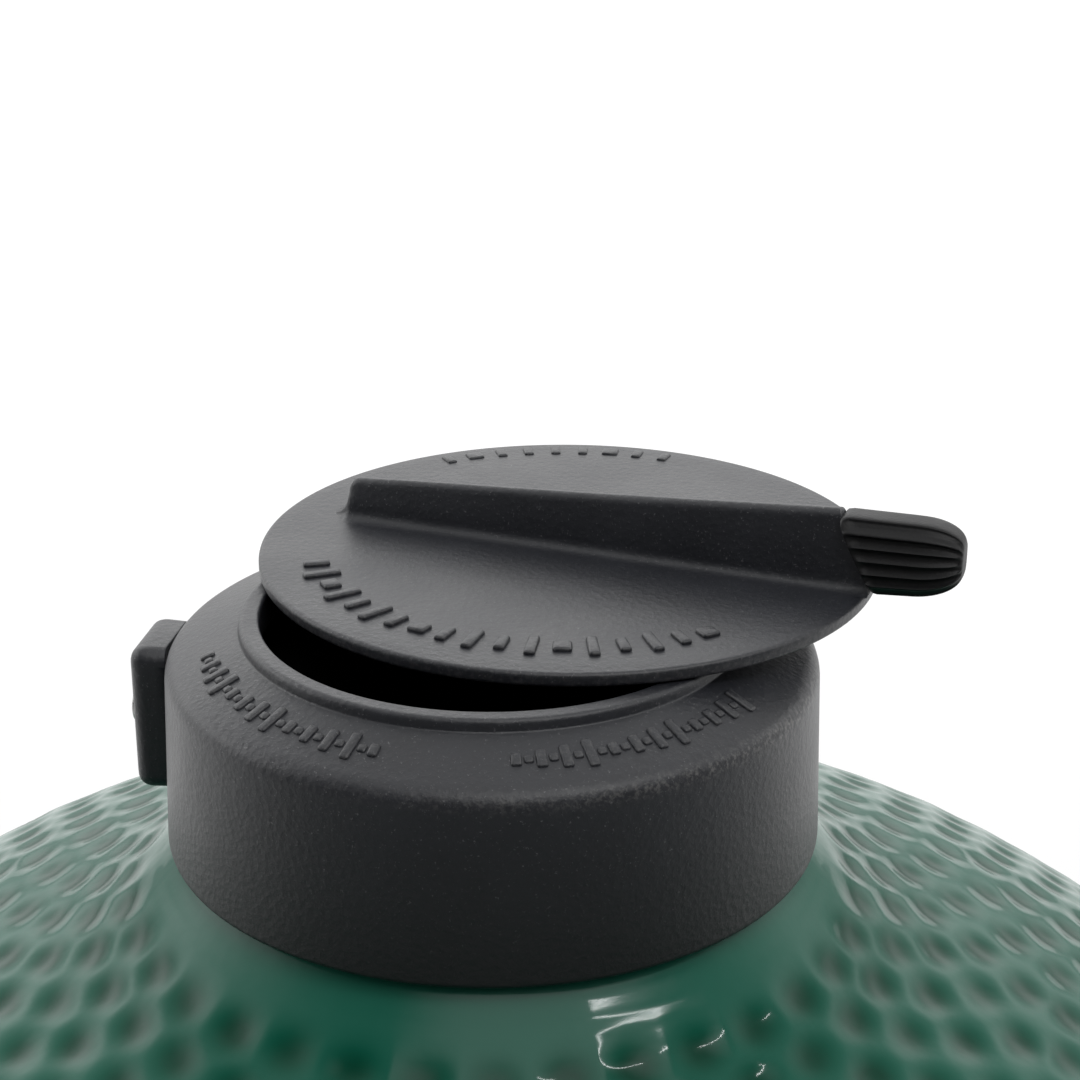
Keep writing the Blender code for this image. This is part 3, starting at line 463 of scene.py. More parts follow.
def wood_look():
    """Oiled hardwood with its grain along the bar."""
    look = Look("oiled_wood", IOR=1.48, Roughness=0.42)
    grain = look.noise(45, 6, 0.65, stretch=(0.12, 1, 1))
    fine = look.noise(420, 3, 0.6, stretch=(0.04, 1, 1))
    colour = look.ramp(grain, (0.30, (0.16, 0.075, 0.032)), (0.52, (0.30, 0.155, 0.070)),
                       (0.75, (0.42, 0.24, 0.12)))
    look.set("Base Color", look.mix(look.math("MULTIPLY", fine, 0.35), colour, (0.10, 0.045, 0.02)))
    look.bump((grain, 0.0003), (fine, 0.00012))
    return look.material


def plain_look(name, low, high, roughness, scale=80, bump=0.0001, **values):
    """A finish of two near colours in soft clouds, with a fine surface."""
    look = Look(name, Roughness=roughness, **values)
    cloud = look.noise(scale, 4, 0.6)
    look.set("Base Color", look.ramp(cloud, (0.3, low), (0.7, high)))
    look.bump((look.noise(scale * 9, 3, 0.6), bump))
    return look.material


def glass_look():
    look = Look("gauge_glass", Roughness=0.02, Transmission_Weight=1.0, IOR=1.45)
    haze = look.noise(40, 3, 0.5)
    look.set("Base Color", look.ramp(haze, (0.2, (0.96, 0.98, 0.98)), (0.8, (1.0, 1.0, 1.0))))
    return look.material


# ---- ceramic shells ----
def dimple_rows(first, last, spacing):
    """Where each row of dimples is along the wall."""
    return [first + spacing * i for i in range(int((last - first) / spacing) + 1)]


def shell_grid(profile, columns):
    """Points and outward normals of a turned surface, as arrays of rows by columns."""
    r, z = np.array(profile).T
    dr, dz = np.gradient(r), np.gradient(z)
    size = np.hypot(dr, dz)
    nr, nz = -dz / size, dr / size
    angle = np.arange(columns) * TAU / columns
    along = np.concatenate([[0], np.cumsum(np.hypot(np.diff(r), np.diff(z)))])
    return r, z, nr, nz, angle, along


def dimple_depth(r, along, angle, rows, pitch, seed, mask):
    """How deep each grid point lies in the nearest dimple. 1 is the bottom of a middling one."""
    rng = np.random.default_rng(seed)
    depth = np.zeros((len(r), len(angle)))
    half_along, half_round = 0.0066, 0.0080
    count = 0
    for k, middle in enumerate(rows):
        radius = float(np.interp(middle, along, r))
        wanted = TAU * radius / pitch
        if not 0.80 * count <= wanted <= 1.30 * count:
            count = int(12 * max(1, round(wanted / 12)))
        shift = 0.5 * (k % 2)
        jitter = rng.uniform(-0.0005, 0.0005, (count, 2))
        size = rng.uniform(0.88, 1.12, count)
        near = np.abs(along - middle) < half_along * 2.2
        place = angle[None, :] * count / TAU + shift
        index = np.round(place).astype(int)
        share = place - index
        index = index % count
        across = share * TAU / count * r[near][:, None] + jitter[index, 0]
        ahead = (along[near] - middle)[:, None] + jitter[index, 1]
        d = (across / half_round) ** 2 + (ahead / half_along) ** 2
        bowl = np.exp(-1.9 * d ** 1.15) * size[index]
        depth[near] = np.maximum(depth[near], bowl)
    return depth * mask


def smoothstep(value, low, high):
    """A smooth rise from 0 at low to 1 at high."""
    t = np.clip((value - low) / (high - low), 0, 1)
    return t * t * (3 - 2 * t)


def shell_mesh(name, outer, inner, columns, depth, bare_rows=0):
    """A ceramic shell: a dimpled outer surface joined to a plain inner one."""
    r, z, nr, nz, angle, _ = shell_grid(outer, columns)
    wave = 0.00022 * (np.sin(angle * 5 + 1)[None, :] * np.sin(z * 55)[:, None]
                      + np.sin(angle * 11)[None, :] * np.cos(z * 90 + 2)[:, None])
    thrown = smoothstep(-r, -0.082, -0.079) * smoothstep(r, 0.0695, 0.0705)
    off = -depth * DENT + wave + (thrown * 0.00003 * np.sin(r * TAU / 0.0031))[:, None]
    cos, sin = np.cos(angle)[None, :], np.sin(angle)[None, :]
    radius = r[:, None] + nr[:, None] * off
    height = z[:, None] + nz[:, None] * off
    grid = np.stack([radius * cos, radius * sin, height], axis=-1)
    inside = np.array(inner)
    low = np.stack([inside[:, 0][:, None] * cos, inside[:, 0][:, None] * sin,
                    np.repeat(inside[:, 1][:, None], columns, axis=1)], axis=-1)
    rings = np.concatenate([grid, low])
    count = len(rings)
    points = rings.reshape(-1, 3)
    a = (np.arange(count)[:, None] * columns + np.arange(columns)[None, :])
    b = np.roll(a, -1, axis=1)
    c, d = np.roll(b, -1, axis=0), np.roll(a, -1, axis=0)
    quads = np.stack([a, b, c, d], axis=-1).reshape(-1, 4)
    mesh = bpy.data.meshes.new(name)
    mesh.vertices.add(len(points))
    mesh.vertices.foreach_set("co", points.ravel())
    mesh.loops.add(quads.size)
    mesh.loops.foreach_set("vertex_index", quads[:, ::-1].ravel().astype(np.int32))
    mesh.polygons.add(len(quads))
    mesh.polygons.foreach_set("loop_start", np.arange(0, quads.size, 4, dtype=np.int32))
    mesh.update(calc_edges=True)
    mesh.validate()
    mesh.shade_smooth()
    pool = mesh.attributes.new("pool", "FLOAT", "POINT")
    values = np.concatenate([depth, np.zeros((len(inside), columns))]).ravel()
    pool.data.foreach_set("value", values.astype(np.float32))
    bare = mesh.attributes.new("bare", "FLOAT", "POINT")
    rows = np.concatenate([np.arange(len(outer)) < bare_rows, np.ones(len(inside), bool)])
    bare.data.foreach_set("value", np.repeat(rows, columns).astype(np.float32))
    return placed(name, mesh)


def bezier(a, b, c, count):
    """Points along a quadratic curve with its control point at b."""
    a, b, c = (np.array(p, float) for p in (a, b, c))
    t = np.linspace(0, 1, count)[:, None]
    return [tuple(p) for p in a * (1 - t) ** 2 + 2 * b * t * (1 - t) + c * t * t]


def dome_outer(rows):
    """The lid's outer wall, from the neck's top down its flare and over the dome to the rim."""
    root = math.sqrt(RIM_R ** 2 - FLARE_R ** 2)
    slope = -DOME_RISE / RIM_R * FLARE_R / root
    flare_z = CENTRE_Z + DOME_RISE * root / RIM_R
    top_z = CAP_Z - 0.0008
    fall = top_z - FLARE_TOP_SLOPE * FLARE_TOP_R - (flare_z - slope * FLARE_R)
    knee_r = fall / (slope - FLARE_TOP_SLOPE)
    knee = (knee_r, top_z + FLARE_TOP_SLOPE * (knee_r - FLARE_TOP_R))
    neck = [(NECK_R - 0.0015, NECK_TOP), (NECK_R, NECK_TOP - 0.0015), (NECK_R, CAP_Z + 0.0025),
            (NECK_R + 0.0008, CAP_Z + 0.0013)]
    flare = bezier((FLARE_TOP_R, top_z), knee, (FLARE_R, flare_z), 40)
    start = math.asin(FLARE_R / RIM_R)
    wall = []
    for i in range(1, rows + 1):
        t = i / rows
        a = start + (math.pi / 2 - start) * (0.62 * t + 0.38 * t ** 1.7)
        wall.append((RIM_R * math.sin(a), CENTRE_Z + DOME_RISE * math.cos(a)))
    rim = [(RIM_R, DOME_RIM + 0.0015), (RIM_R - 0.0015, DOME_RIM)]
    return neck + flare + wall + rim


def make_dome():
    """The glazed lid: flare, dimpled dome and bare throat."""
    outer = dome_outer(170)
    in_r, in_z = RIM_R - WALL, DOME_RISE - WALL
    start = math.asin(THROAT_R / in_r)
    inner = [(in_r + 0.0015, DOME_RIM), (in_r, DOME_RIM + 0.0015)]
    for i in range(40):
        a = math.pi / 2 + (start - math.pi / 2) * i / 39
        inner.append((in_r * math.sin(a), CENTRE_Z + in_z * math.cos(a)))
    inner += [(THROAT_R, NECK_TOP - 0.0015), (THROAT_R + 0.0015, NECK_TOP)]
    columns = 560
    r, z, _, _, angle, along = shell_grid(outer, columns)
    first = float(along[np.searchsorted(r, 0.0845)])
    band_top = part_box("upper_band")[1].z
    last = float(np.interp(-(band_top + 0.014), -z[10:-3], along[10:-3]))
    rows = dimple_rows(first, last, spacing=0.0112)
    mask = (smoothstep(z, band_top + 0.004, band_top + 0.012) * smoothstep(r, 0.072, 0.077))[:, None]
    cos, sin = np.cos(angle)[None, :], np.sin(angle)[None, :]
    grid = np.stack([r[:, None] * cos, r[:, None] * sin, np.repeat(z[:, None], columns, 1)], -1)
    away = np.linalg.norm(grid - np.array(GAUGE), axis=-1)
    mask = mask * smoothstep(away, 0.034, 0.042)
    depth = dimple_depth(r, along, angle, rows, pitch=0.0172, seed=7, mask=mask)
    dome = shell_mesh("dome_glazed", outer, inner, columns, depth, bare_rows=2)
    finish_piece(dome, "lid", "glazed_ceramic", "dome_shell")


def base_wall(inset, low, high, count):
    """Points up the base's wall, set in from the glazed surface."""
    found = []
    for i in range(count):
        z = low + (high - low) * i / (count - 1)
        drop = (CENTRE_Z - z) / (BASE_DROP - inset)
        found.append(((RIM_R - inset) * math.sqrt(1 - drop * drop), z))
    return found


def make_base():
    """The glazed base, with its dimples and the draft opening's chin."""
    floor_z = BASE_BOTTOM + WALL
    foot = BASE_BOTTOM + 0.014
    wall = base_wall(0, foot, BASE_RIM - 0.0015, 150)[::-1]
    foot_r = wall[-1][0]
    under = bezier(wall[-1], (foot_r - 0.006, BASE_BOTTOM), (foot_r - 0.020, BASE_BOTTOM), 8)[1:]
    outer = [(RIM_R - 0.0015, BASE_RIM)] + wall + under + [(0.09, BASE_BOTTOM), (0.0005, BASE_BOTTOM)]
    inner = base_wall(WALL, floor_z + 0.025, BASE_RIM - 0.0015, 40)
    hollow = bezier((inner[0][0] - 0.030, floor_z), (inner[0][0] - 0.008, floor_z), inner[0], 8)[:-1]
    inside = [(0.0005, floor_z)] + hollow + inner + [(inner[-1][0] + 0.0015, BASE_RIM)]
    columns = 480
    r, z, _, _, angle, along = shell_grid(outer, columns)
    band_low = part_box("lower_band")[0].z
    first = float(np.interp(-(band_low - 0.014), -z[1:150], along[1:150]))
    last = float(along[150]) - 0.012
    rows = dimple_rows(first, last, spacing=0.0114)
    mask = (smoothstep(-z, -(band_low - 0.004), -(band_low - 0.012))
            * smoothstep(z, foot, foot + 0.010))[:, None]
    turn = np.abs((angle - FRONT + math.pi) % TAU - math.pi)
    near = (1 - smoothstep(turn, math.radians(38), math.radians(41)))[None, :]
    near = near * (1 - smoothstep(z, 0.156, 0.164))[:, None]
    depth = dimple_depth(r, along, angle, rows, pitch=0.0174, seed=11, mask=mask * (1 - near))
    base = shell_mesh("base_glazed", outer, inside, columns, depth)
    chin_r = -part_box("draft_frame")[0].y - 0.0095
    chin = soften([(0.172, 0.070, 0.0), (chin_r - 0.008, 0.058, 0.006), (chin_r, 0.066, 0.004),
                   (chin_r, 0.139, 0.004), (chin_r - 0.004, 0.149, 0.005), (0.190, 0.156, 0.0)], 0.004, 5)
    half = math.radians(35.5)
    pad = eased(lathe("chin", chin, 48, start=FRONT - half, sweep=2 * half, sharp=50), 0.004)
    join_step = base.modifiers.new("pad", "BOOLEAN")
    join_step.operation, join_step.solver, join_step.object = "UNION", "EXACT", pad
    inlet = block("inlet", (-OPENING_HALF_W, -0.260, OPENING_LOW),
                  (OPENING_HALF_W, -0.120, OPENING_HIGH), 0.002)
    cut_away(base, inlet)
    bpy.data.objects.remove(pad, do_unlink=True)
    finish_piece(base, "base", "glazed_ceramic", "base_shell")


# ---- vent cap ----
def wear_and_painted_light_attribute(obj, value):
    """Marks how rubbed each point is, from a function of its place, with any painted highlight that function adds.
    Below zero it is painted shade.
    """
    mesh = obj.data
    layer = mesh.attributes.new("wear_and_painted_light", "FLOAT", "POINT")
    layer.data.foreach_set("value", [float(value(v.co)) for v in mesh.vertices])


def make_vent_ring():
    """The cast ring: its wall, cone and lip, with the pivot boss on a web."""
    wall_in = RING_R - 0.0047
    z = CAP_Z
    profile = [
        (LIP_R, z + LIP_H, 0.0009), (LIP_OUT_R, z + LIP_H, 0.0018),
        (LIP_OUT_R + 0.0004, z + LIP_H - 0.0026, 0.0006),
        (SHOULDER_R - 0.0002, z + SHOULDER_H + 0.0006, 0.0052), (RING_R, z, 0.0012),
        (wall_in, z, 0.0010), (wall_in, z + 0.0330, 0.002), (0.0645, z + 0.0405, 0.002),
        (LIP_R, z + 0.0430, 0.002)]
    ring = lathe("vent_ring_body", soften(profile, 0.001, 6), 256)
    place = around(PIVOT_R, PIVOT_AZ)
    low, high = z + LIP_H - 0.0118, z + LIP_H - 0.0006
    tube = [(0.0048, high, 0.0004), (0.0085, high, 0.0006), (0.0085, low, 0.0006), (0.0048, low, 0.0004)]
    boss = lathe("boss", soften(tube, 0.0005, 3), 48, axis=Matrix.Translation(place))
    web = block("web", (PIVOT_R + 0.0062, -0.0058, low + 0.001), (0.0570, 0.0058, high - 0.002), 0.001,
                turn=Matrix.Rotation(PIVOT_AZ, 4, "Z"))
    ring = merged("vent_ring_cast", ring, boss, web)
    ring.data.shade_smooth()
    shoulder, lip = z + SHOULDER_H, z + LIP_H

    def tone_at(co):
        radius = math.hypot(co.x, co.y)
        edge = math.exp(-((co.z - shoulder + 0.001) / 0.0016) ** 2) * (radius > 0.070)
        rim = math.exp(-((co.z - lip) / 0.0008) ** 2) * 0.12
        # side makes the shoulder's paler wear strongest towards the front right: real wear on the edge, plus a
        # painted highlight on that side.
        side = 0.15 + 0.85 * max(0.0, math.cos(math.atan2(co.y, co.x) + 0.6)) ** 2
        # The subtracted term is painted shade: it darkens the ring's wall, inside and out, to near black over its
        # lowest 3 cm.
        return min(1.0, edge * side + rim) - smoothstep(z + 0.030 - co.z, 0.0, 0.028)

    wear_and_painted_light_attribute(ring, tone_at)
    finish_piece(ring, "lid", "cast_iron", "vent_ring")


def raised_marks(name, marks, body):
    """Low rounded bars and pips, each given by a matrix, a width, a height and how far it stands."""
    pieces = []
    for i, (turn, width, height, stand) in enumerate(marks):
        half_w, half_h = width / 2, height / 2
        round_by = min(half_w, half_h, 0.0008) * 0.75
        pieces.append(block(f"{name}_{i}", (-half_w, -half_h, -0.0006), (half_w, half_h, stand),
                            min(round_by, (stand + 0.0006) * 0.45), 3, turn))
    made = merged(name, *pieces)
    made.data.shade_smooth()
    wear_and_painted_light_attribute(made, lambda co: 0.25)
    finish_piece(made, body, "cast_iron")


def cone_marks():
    """Two scales on the ring's cone: bars in rising groups of four, with a pip between each two."""
    inner = (LIP_OUT_R + 0.0012, CAP_Z + LIP_H - 0.0030)
    outer = (SHOULDER_R - 0.0036, CAP_Z + SHOULDER_H + 0.0016)
    middle = ((inner[0] + outer[0]) / 2, (inner[1] + outer[1]) / 2)
    slope = math.atan2(inner[1] - outer[1], outer[0] - inner[0])

    def on_cone(degrees):
        azimuth = math.radians(degrees)
        out = around(math.sin(slope), azimuth, math.cos(slope))
        up = around(-math.cos(slope), azimuth, math.sin(slope))
        return frame_at(around(middle[0], azimuth, middle[1]), out, up)

    marks = []
    for start, end, count in ((-168, -112, 13), (-86, -36, 12)):
        for i in range(count):
            tall = 0.0034 + 0.0040 * (i % 4) / 3
            marks.append((on_cone(start + (end - start) * i / (count - 1)), 0.0023, tall, 0.0008))
            if i < count - 1:
                between = start + (end - start) * (i + 0.5) / (count - 1)
                marks.append((on_cone(between), 0.0021, 0.0021, 0.0007))
    raised_marks("ring_scale_marks", marks, "lid")


def lid_turn(turn=0.0):
    """Where a piece of the lid goes that was made about the cap's axis with the lid closed."""
    pivot = Vector((PIVOT.x, PIVOT.y, 0))
    return (Matrix.Translation(pivot + Vector((0, 0, CAP_Z))) @ Matrix.Rotation(VENT_OPEN, 4, "Z")
            @ Matrix.Translation(-pivot) @ Matrix.Rotation(turn, 4, "Z"))


def fin_section(along, height, half_top, half_foot, spread, lean=0.0):
    """Half a fin's outline from its foot's fillet to its ridge, mirrored to the other side."""
    face = LIP_H + DISC_LIFT + DISC_T
    side = []
    for i in range(7):
        t = i / 6
        side.append((half_foot + spread * (1 - t) ** 2, min(0.0030, height * 0.6) * t ** 2 - 0.00005))
    top = height - 0.0014
    if height > 0.004:
        side.append((half_foot * 0.55 + half_top * 0.45 + 0.0002, 0.0030 + (top - 0.0030) * 0.5))
        side.append((half_top + 0.0003, top - 0.0006))
        side.append((half_top, top + 0.0004))
    else:
        side += [(half_foot * 0.8, height * 0.8), (half_foot * 0.7, height * 0.86),
                 (half_foot * 0.6, height * 0.92)]
    side += [(half_top * 0.72, height - 0.0004), (half_top * 0.25, height)]
    points = [(w, h) for w, h in side] + [(-w, h) for w, h in reversed(side)]
    return [(along - lean * max(h, 0) / max(height, 1e-6), w, face + h) for w, h in points]


def make_vent_disc():
    """The disc with its fin on top and the pivot's stub below."""
    low = LIP_H + DISC_LIFT
    top = low + DISC_T
    profile = [(0, top), (0.030, top), (0.060, top), (DISC_R - 0.0040, top),
               (DISC_R, top - 0.0002, 0.0011),
               (DISC_R, low, 0.0009), (0.0585, low), (0, low)]
    disc = lathe("disc", soften(profile, 0.0001, 6, closed=False), 256, closed=False)
    disc.data.transform(lid_turn())
    lean = FIN_FOOT_END - FIN_TOP_END
    rings = []
    for back, share in ((0.0044, 0.02), (0.0031, 0.10), (0.0018, 0.26), (0.0009, 0.48),
                        (0.0003, 0.86), (-0.0004, 0.96), (-0.0016, 1.0)):
        rings.append(fin_section(FIN_BACK - back, FIN_LOW * share, 0.0017,
                                 0.0036 * (0.30 + 0.70 * share ** 0.4),
                                 0.0042 * min(1, 0.15 + share ** 0.5)))
    for i in range(1, 9):
        t = i / 8
        along = FIN_BACK + (FIN_FOOT_END - FIN_BACK) * t
        rings.append(fin_section(along, FIN_LOW + (FIN_HIGH - FIN_LOW) * t, 0.0017 + 0.0004 * t,
                                 0.0036 + 0.0004 * t, 0.0042 - 0.0010 * t, lean * max(0, t - 0.5) * 2))
    fin = loft("fin", rings, sharp=50)
    fin.data.transform(lid_turn(FIN_AZ))
    stub = lathe("stub", soften([(0, low + 0.001), (0.0045, low + 0.001), (0.0045, low - 0.0126),
                                 (0.0033, low - 0.0130), (0.0033, low - 0.0190), (0, low - 0.0190)],
                                0.0003, 2, closed=False), 40, closed=False)
    stub.data.transform(Matrix.Translation((PIVOT.x, PIVOT.y, CAP_Z)))
    made = merged("vent_disc_cast", disc, fin, stub, sharp=55)
    centre = lid_turn() @ Vector((0, 0, top))

    def tone_at(co):
        radius = math.hypot(co.x - centre.x, co.y - centre.y)
        return math.exp(-((radius - DISC_R) / 0.0007) ** 2) * 0.25

    wear_and_painted_light_attribute(made, tone_at)
    finish_piece(made, "vent_lid", "cast_iron", "vent_disc")


def disc_marks():
    """A ring of plain bars along the disc's front edge, and a shorter one at its back."""
    face = LIP_H + DISC_LIFT + DISC_T
    marks = []
    rows = ((-168, -62, 18, 0.0600, 0.0009, (0.0062, 0.0088)),
            (66, 116, 9, 0.0666, 0.0005, (0.0050, 0.0050)))
    for start, end, count, radius, stand, heights in rows:
        for i in range(count):
            azimuth = math.radians(start + (end - start) * i / (count - 1)) - VENT_OPEN
            turn = lid_turn() @ frame_at(around(radius, azimuth, face), (0, 0, 1), around(1, azimuth))
            width, height = (0.0042, 0.0042) if i % 5 == 2 else (0.0025, heights[i % 2])
            marks.append((turn, width, height, stand))
    raised_marks("disc_marks", marks, "vent_lid")


def make_grip():
    """The sleeve: long ribs down both sides that die out towards a rounded tip."""
    face = LIP_H + DISC_LIFT + DISC_T
    low, high = face + GRIP_LOW, face + GRIP_HIGH - 0.0012
    lean = FIN_FOOT_END - FIN_TOP_END
    start, nose = FIN_FOOT_END + 0.0006, 0.0104
    count, ribs = 144, 6
    rings = []
    stations = [(0.0, 0.90, 0.0), (0.0003, 0.97, 0.3), (0.0010, 1.0, 1.0)]
    length = GRIP_END - start
    stations += [(0.0010 + (length - nose - 0.001) * i / 8, 1.0, 1.0) for i in range(1, 9)]
    for i in range(1, 15):
        a = math.pi / 2 * i / 14
        stations.append((length - nose + nose * math.sin(a), max(0.03, math.cos(a) ** 0.85),
                         max(0.0, 1 - (i / 13) ** 3)))
    for ahead, size, rib in stations:
        taper = 1 - 0.06 * ahead / length
        half_h = (high - low) / 2 * taper
        middle = (low + high) / 2 - 0.0012 * (1 - ahead / length) - 0.0003
        half_w = GRIP_HALF_W * (0.30 + 0.70 * size)
        tall = half_h * (0.32 + 0.68 * size) if ahead > length - nose else half_h * size
        ring = []
        for k in range(count):
            a = TAU * k / count
            c, s = math.cos(a), math.sin(a)
            w = math.copysign(abs(c) ** 0.55, c)
            h = math.copysign(abs(s) ** 0.62, s)
            groove = 0.5 + 0.5 * math.cos(math.pi * h * ribs)
            depth = 0.00140 * rib * (1 - groove ** 2.0) * smooth_share(abs(w))
            shift = lean * (h + 1) / 2 * max(0.0, 1 - ahead / (length * 0.55))
            ring.append((start + ahead - shift, half_w * w - math.copysign(depth, w),
                         middle + tall * h))
        rings.append(ring)
    grip = loft("vent_grip_sleeve", rings, sharp=60)
    grip.data.transform(lid_turn(FIN_AZ))
    finish_piece(grip, "vent_lid", "black_silicone", "vent_grip")


def smooth_share(value):
    """How deep the grip's ribs are, from none at the middle to full at the sides."""
    return min(1.0, value / 0.5) ** 2


def make_clamp():
    """The rounded block on the ring's side, and its screw."""
    inner, z = RING_R + 0.0003, CAP_Z
    half, ease, rings = math.radians(8.0) * inner, 0.0036, []
    turns = [math.pi / 2 * i / 8 for i in range(9)]
    for side, row in ((-1, turns), (1, turns[::-1])):
        for a in row:
            azimuth = CLAMP_AZ + side * (half - ease * (1 - math.cos(a))) / inner
            inset = ease * (1 - math.sin(a))
            back, face = inner - 0.0006, inner + 0.0080 - inset
            low, high = z + 0.0045 + inset, z + 0.0400 - inset
            outline = soften([(back, low, 0.0005), (face, low, 0.0040), (face, high, 0.0040),
                              (back, high, 0.0005)], 0.001, 7)
            rings.append([around(r, azimuth, height) for r, height in outline])
    made = loft("clamp_block_body", rings, sharp=60)
    finish_piece(made, "lid", "cast_iron", "clamp_block")
    face = inner + 0.0082
    profile = [(0, face + 0.0016), (0.0045, face + 0.0013), (0.0050, face), (0.003, face),
               (0.003, 0.0705), (0, 0.0705)]
    turned_piece("clamp_screw_head", profile, 0.0004, 3, 40, "lid", "bright_steel", "clamp_screw",
                 axis=frame_at((0, 0, z + 0.022), around(1, CLAMP_AZ)))


def make_vent_gasket():
    """The sleeve between the dome's neck and the ring."""
    inner, outer = NECK_R + 0.0003, RING_R - 0.0050
    profile = rectangle(inner, CAP_Z + 0.026, outer, CAP_Z + 0.003)
    turned_piece("vent_gasket_band", profile, 0.0008, 3, 128, "lid", "black_silicone", "vent_gasket",
                 closed=True)


# ---- small hardware ----
def turned_piece(name, profile, round_by, steps, columns, body, slot, node, closed=False, **how):
    """A finished piece that is one softened profile turned about an axis."""
    made = lathe(name, soften(profile, round_by, steps, closed=closed), columns, closed=closed, **how)
    finish_piece(made, body, slot, node)


def eased(obj, width, angle=40):
    """Rounds a piece's hard edges with a small bevel."""
    bevel = obj.modifiers.new("edges", "BEVEL")
    bevel.width, bevel.segments, bevel.limit_method = width, 3, "ANGLE"
    bevel.angle_limit = math.radians(angle)
    return obj


def hexagon(name, corner_r, bore_r, low, high, turn):
    """A hex nut, or a bolt head when it has no bore, with its corners turned off."""
    steps, rings = 72, []
    for i in range(steps):
        a = TAU * i / steps
        flat = corner_r * math.cos(math.pi / 6) / math.cos((a % (math.pi / 3)) - math.pi / 6)
        inner = corner_r * 0.90
        ring = [(flat, low + 0.12 * (flat - inner)), (flat, high - 0.55 * max(0.0, flat - inner)),
                (min(flat, inner), high), (bore_r + 0.0004, high), (bore_r, high - 0.0004),
                (bore_r, low), (min(flat, inner), low)]
        rings.append([(r * math.cos(a), r * math.sin(a), z) for r, z in ring])
    count = len(rings[0])
    points = [p for ring in rings for p in ring]
    faces = [(i * count + j, (i + 1) % steps * count + j, (i + 1) % steps * count + (j + 1) % count,
              i * count + (j + 1) % count) for i in range(steps) for j in range(count)]
    obj = mesh_object(name, points, faces, sharp=35)
    obj.data.transform(turn)
    return obj


def bolt(name, head_r, head_h, shank_r, start, end, turn):
    """A dome-headed bolt along Z, with a round socket in its head and a threaded end."""
    profile = [(0.0, end), (shank_r - 0.0005, end, 0.0002), (shank_r, end - 0.0006, 0.0002)]
    threads = int((end - start) * 0.35 / 0.0008)
    for i in range(threads):
        z = end - 0.0008 - 0.0008 * i
        profile += [(shank_r, z, 0.0), (shank_r - 0.0004, z - 0.0004, 0.0)]
    profile += [(shank_r, start, 0.0), (head_r, start, 0.0004), (head_r, start - head_h * 0.45, 0.0010),
                (head_r * 0.72, start - head_h, 0.0012), (head_r * 0.42, start - head_h, 0.0002),
                (head_r * 0.40, start - head_h * 0.45, 0.0002), (0.0, start - head_h * 0.45)]
    outline = soften(profile, 0.0003, 3, closed=False)
    return lathe(name, outline, 48, closed=False, axis=turn, sharp=40)


def wire(name, points, radius, sides=12):
    """A round wire through points, with rounded ends."""
    points = [Vector(p) for p in points]
    ahead = (points[1] - points[0]).normalized()
    side = ahead.orthogonal().normalized()
    rings = []
    for i, point in enumerate(points):
        before, after = points[max(i - 1, 0)], points[min(i + 1, len(points) - 1)]
        turn = ahead.rotation_difference((after - before).normalized())
        ahead = (after - before).normalized()
        side = turn @ side
        other = ahead.cross(side)
        sizes = [(0.0, 1.0)]
        if i == 0:
            sizes = [(-0.8, 0.35), (-0.5, 0.8), (0.0, 1.0)]
        elif i == len(points) - 1:
            sizes = [(0.0, 1.0), (0.5, 0.8), (0.8, 0.35)]
        for along, size in sizes:
            centre = point + ahead * radius * along
            rings.append([centre + radius * size * (side * math.cos(TAU * k / sides)
                                                    + other * math.sin(TAU * k / sides))
                          for k in range(sides)])
    return loft(name, rings, sharp=60)


# ---- rims, bands and gaskets ----
def strap(inner, outer, low, high, round_by, columns, start, sweep):
    """A flat strip bent round the cooker's axis."""
    profile = soften(rectangle(inner, low, outer, high), round_by, 3)
    return lathe("strap", profile, columns, start=start, sweep=sweep, sharp=50)


def make_gaskets():
    """The felt rings on the two rims."""
    for node, body in (("lower_gasket", "base"), ("upper_gasket", "lid")):
        low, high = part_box(node)
        outer = high.y
        inner = outer - (WALL - 0.003)
        profile = rectangle(inner, high.z, outer, low.z)
        turned_piece(node + "_felt", profile, 0.0012, 4, 192, body, "felt", node, closed=True)


def make_band(node, azimuth, body):
    """A steel band, with the bolt and nut that pull its two lugs together."""
    low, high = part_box(node)[0].z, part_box(node)[1].z
    inner, thick, split = RIM_R + 0.001, 0.003, 0.010
    out = inner + thick
    half = split / 2 / inner
    pieces = [strap(inner, out, low, high, 0.0009, 220, azimuth + half, TAU - 2 * half)]
    turn = Matrix.Rotation(azimuth, 4, "Z")
    for side in (-1, 1):
        near, far = sorted((side * split / 2, side * (split / 2 + 0.004)))
        lug = block("lug", (inner + 0.0008, near, low), (out + 0.016, far, high), 0.0014, 3, turn)
        fillet = block("fillet", (out - 0.0015, side * (split / 2 + 0.0035) - 0.0028, low + 0.002),
                       (out + 0.0022, side * (split / 2 + 0.0035) + 0.0028, high - 0.002), 0.0012, 3,
                       turn)
        pieces += [lug, fillet]
    band = merged(node + "_strap", *pieces, sharp=50)
    finish_piece(band, body, "band_steel", node)
    middle = (low + high) / 2
    across = turn @ Matrix.Translation((out + 0.009, 0, middle)) @ Matrix.Rotation(-math.pi / 2, 4, "X")
    face = split / 2 + 0.0043
    screw = bolt(node + "_clamp_bolt", 0.0055, 0.0048, 0.003, -face, face + 0.009, across)
    finish_piece(screw, body, "bright_steel", node + "_bolt")
    nut = hexagon(node + "_clamp_nut", 0.0058, 0.0033, face, face + 0.005, across)
    finish_piece(nut, body, "bright_steel", node + "_nut")


# ---- hinge ----
UPRIGHT = Matrix(((0, 0, 1, 0), (1, 0, 0, 0), (0, 1, 0, 0), (0, 0, 0, 1)))
STRAP_IN, STRAP_OUT = RIM_R + 0.0043, RIM_R + 0.0043 + 0.004


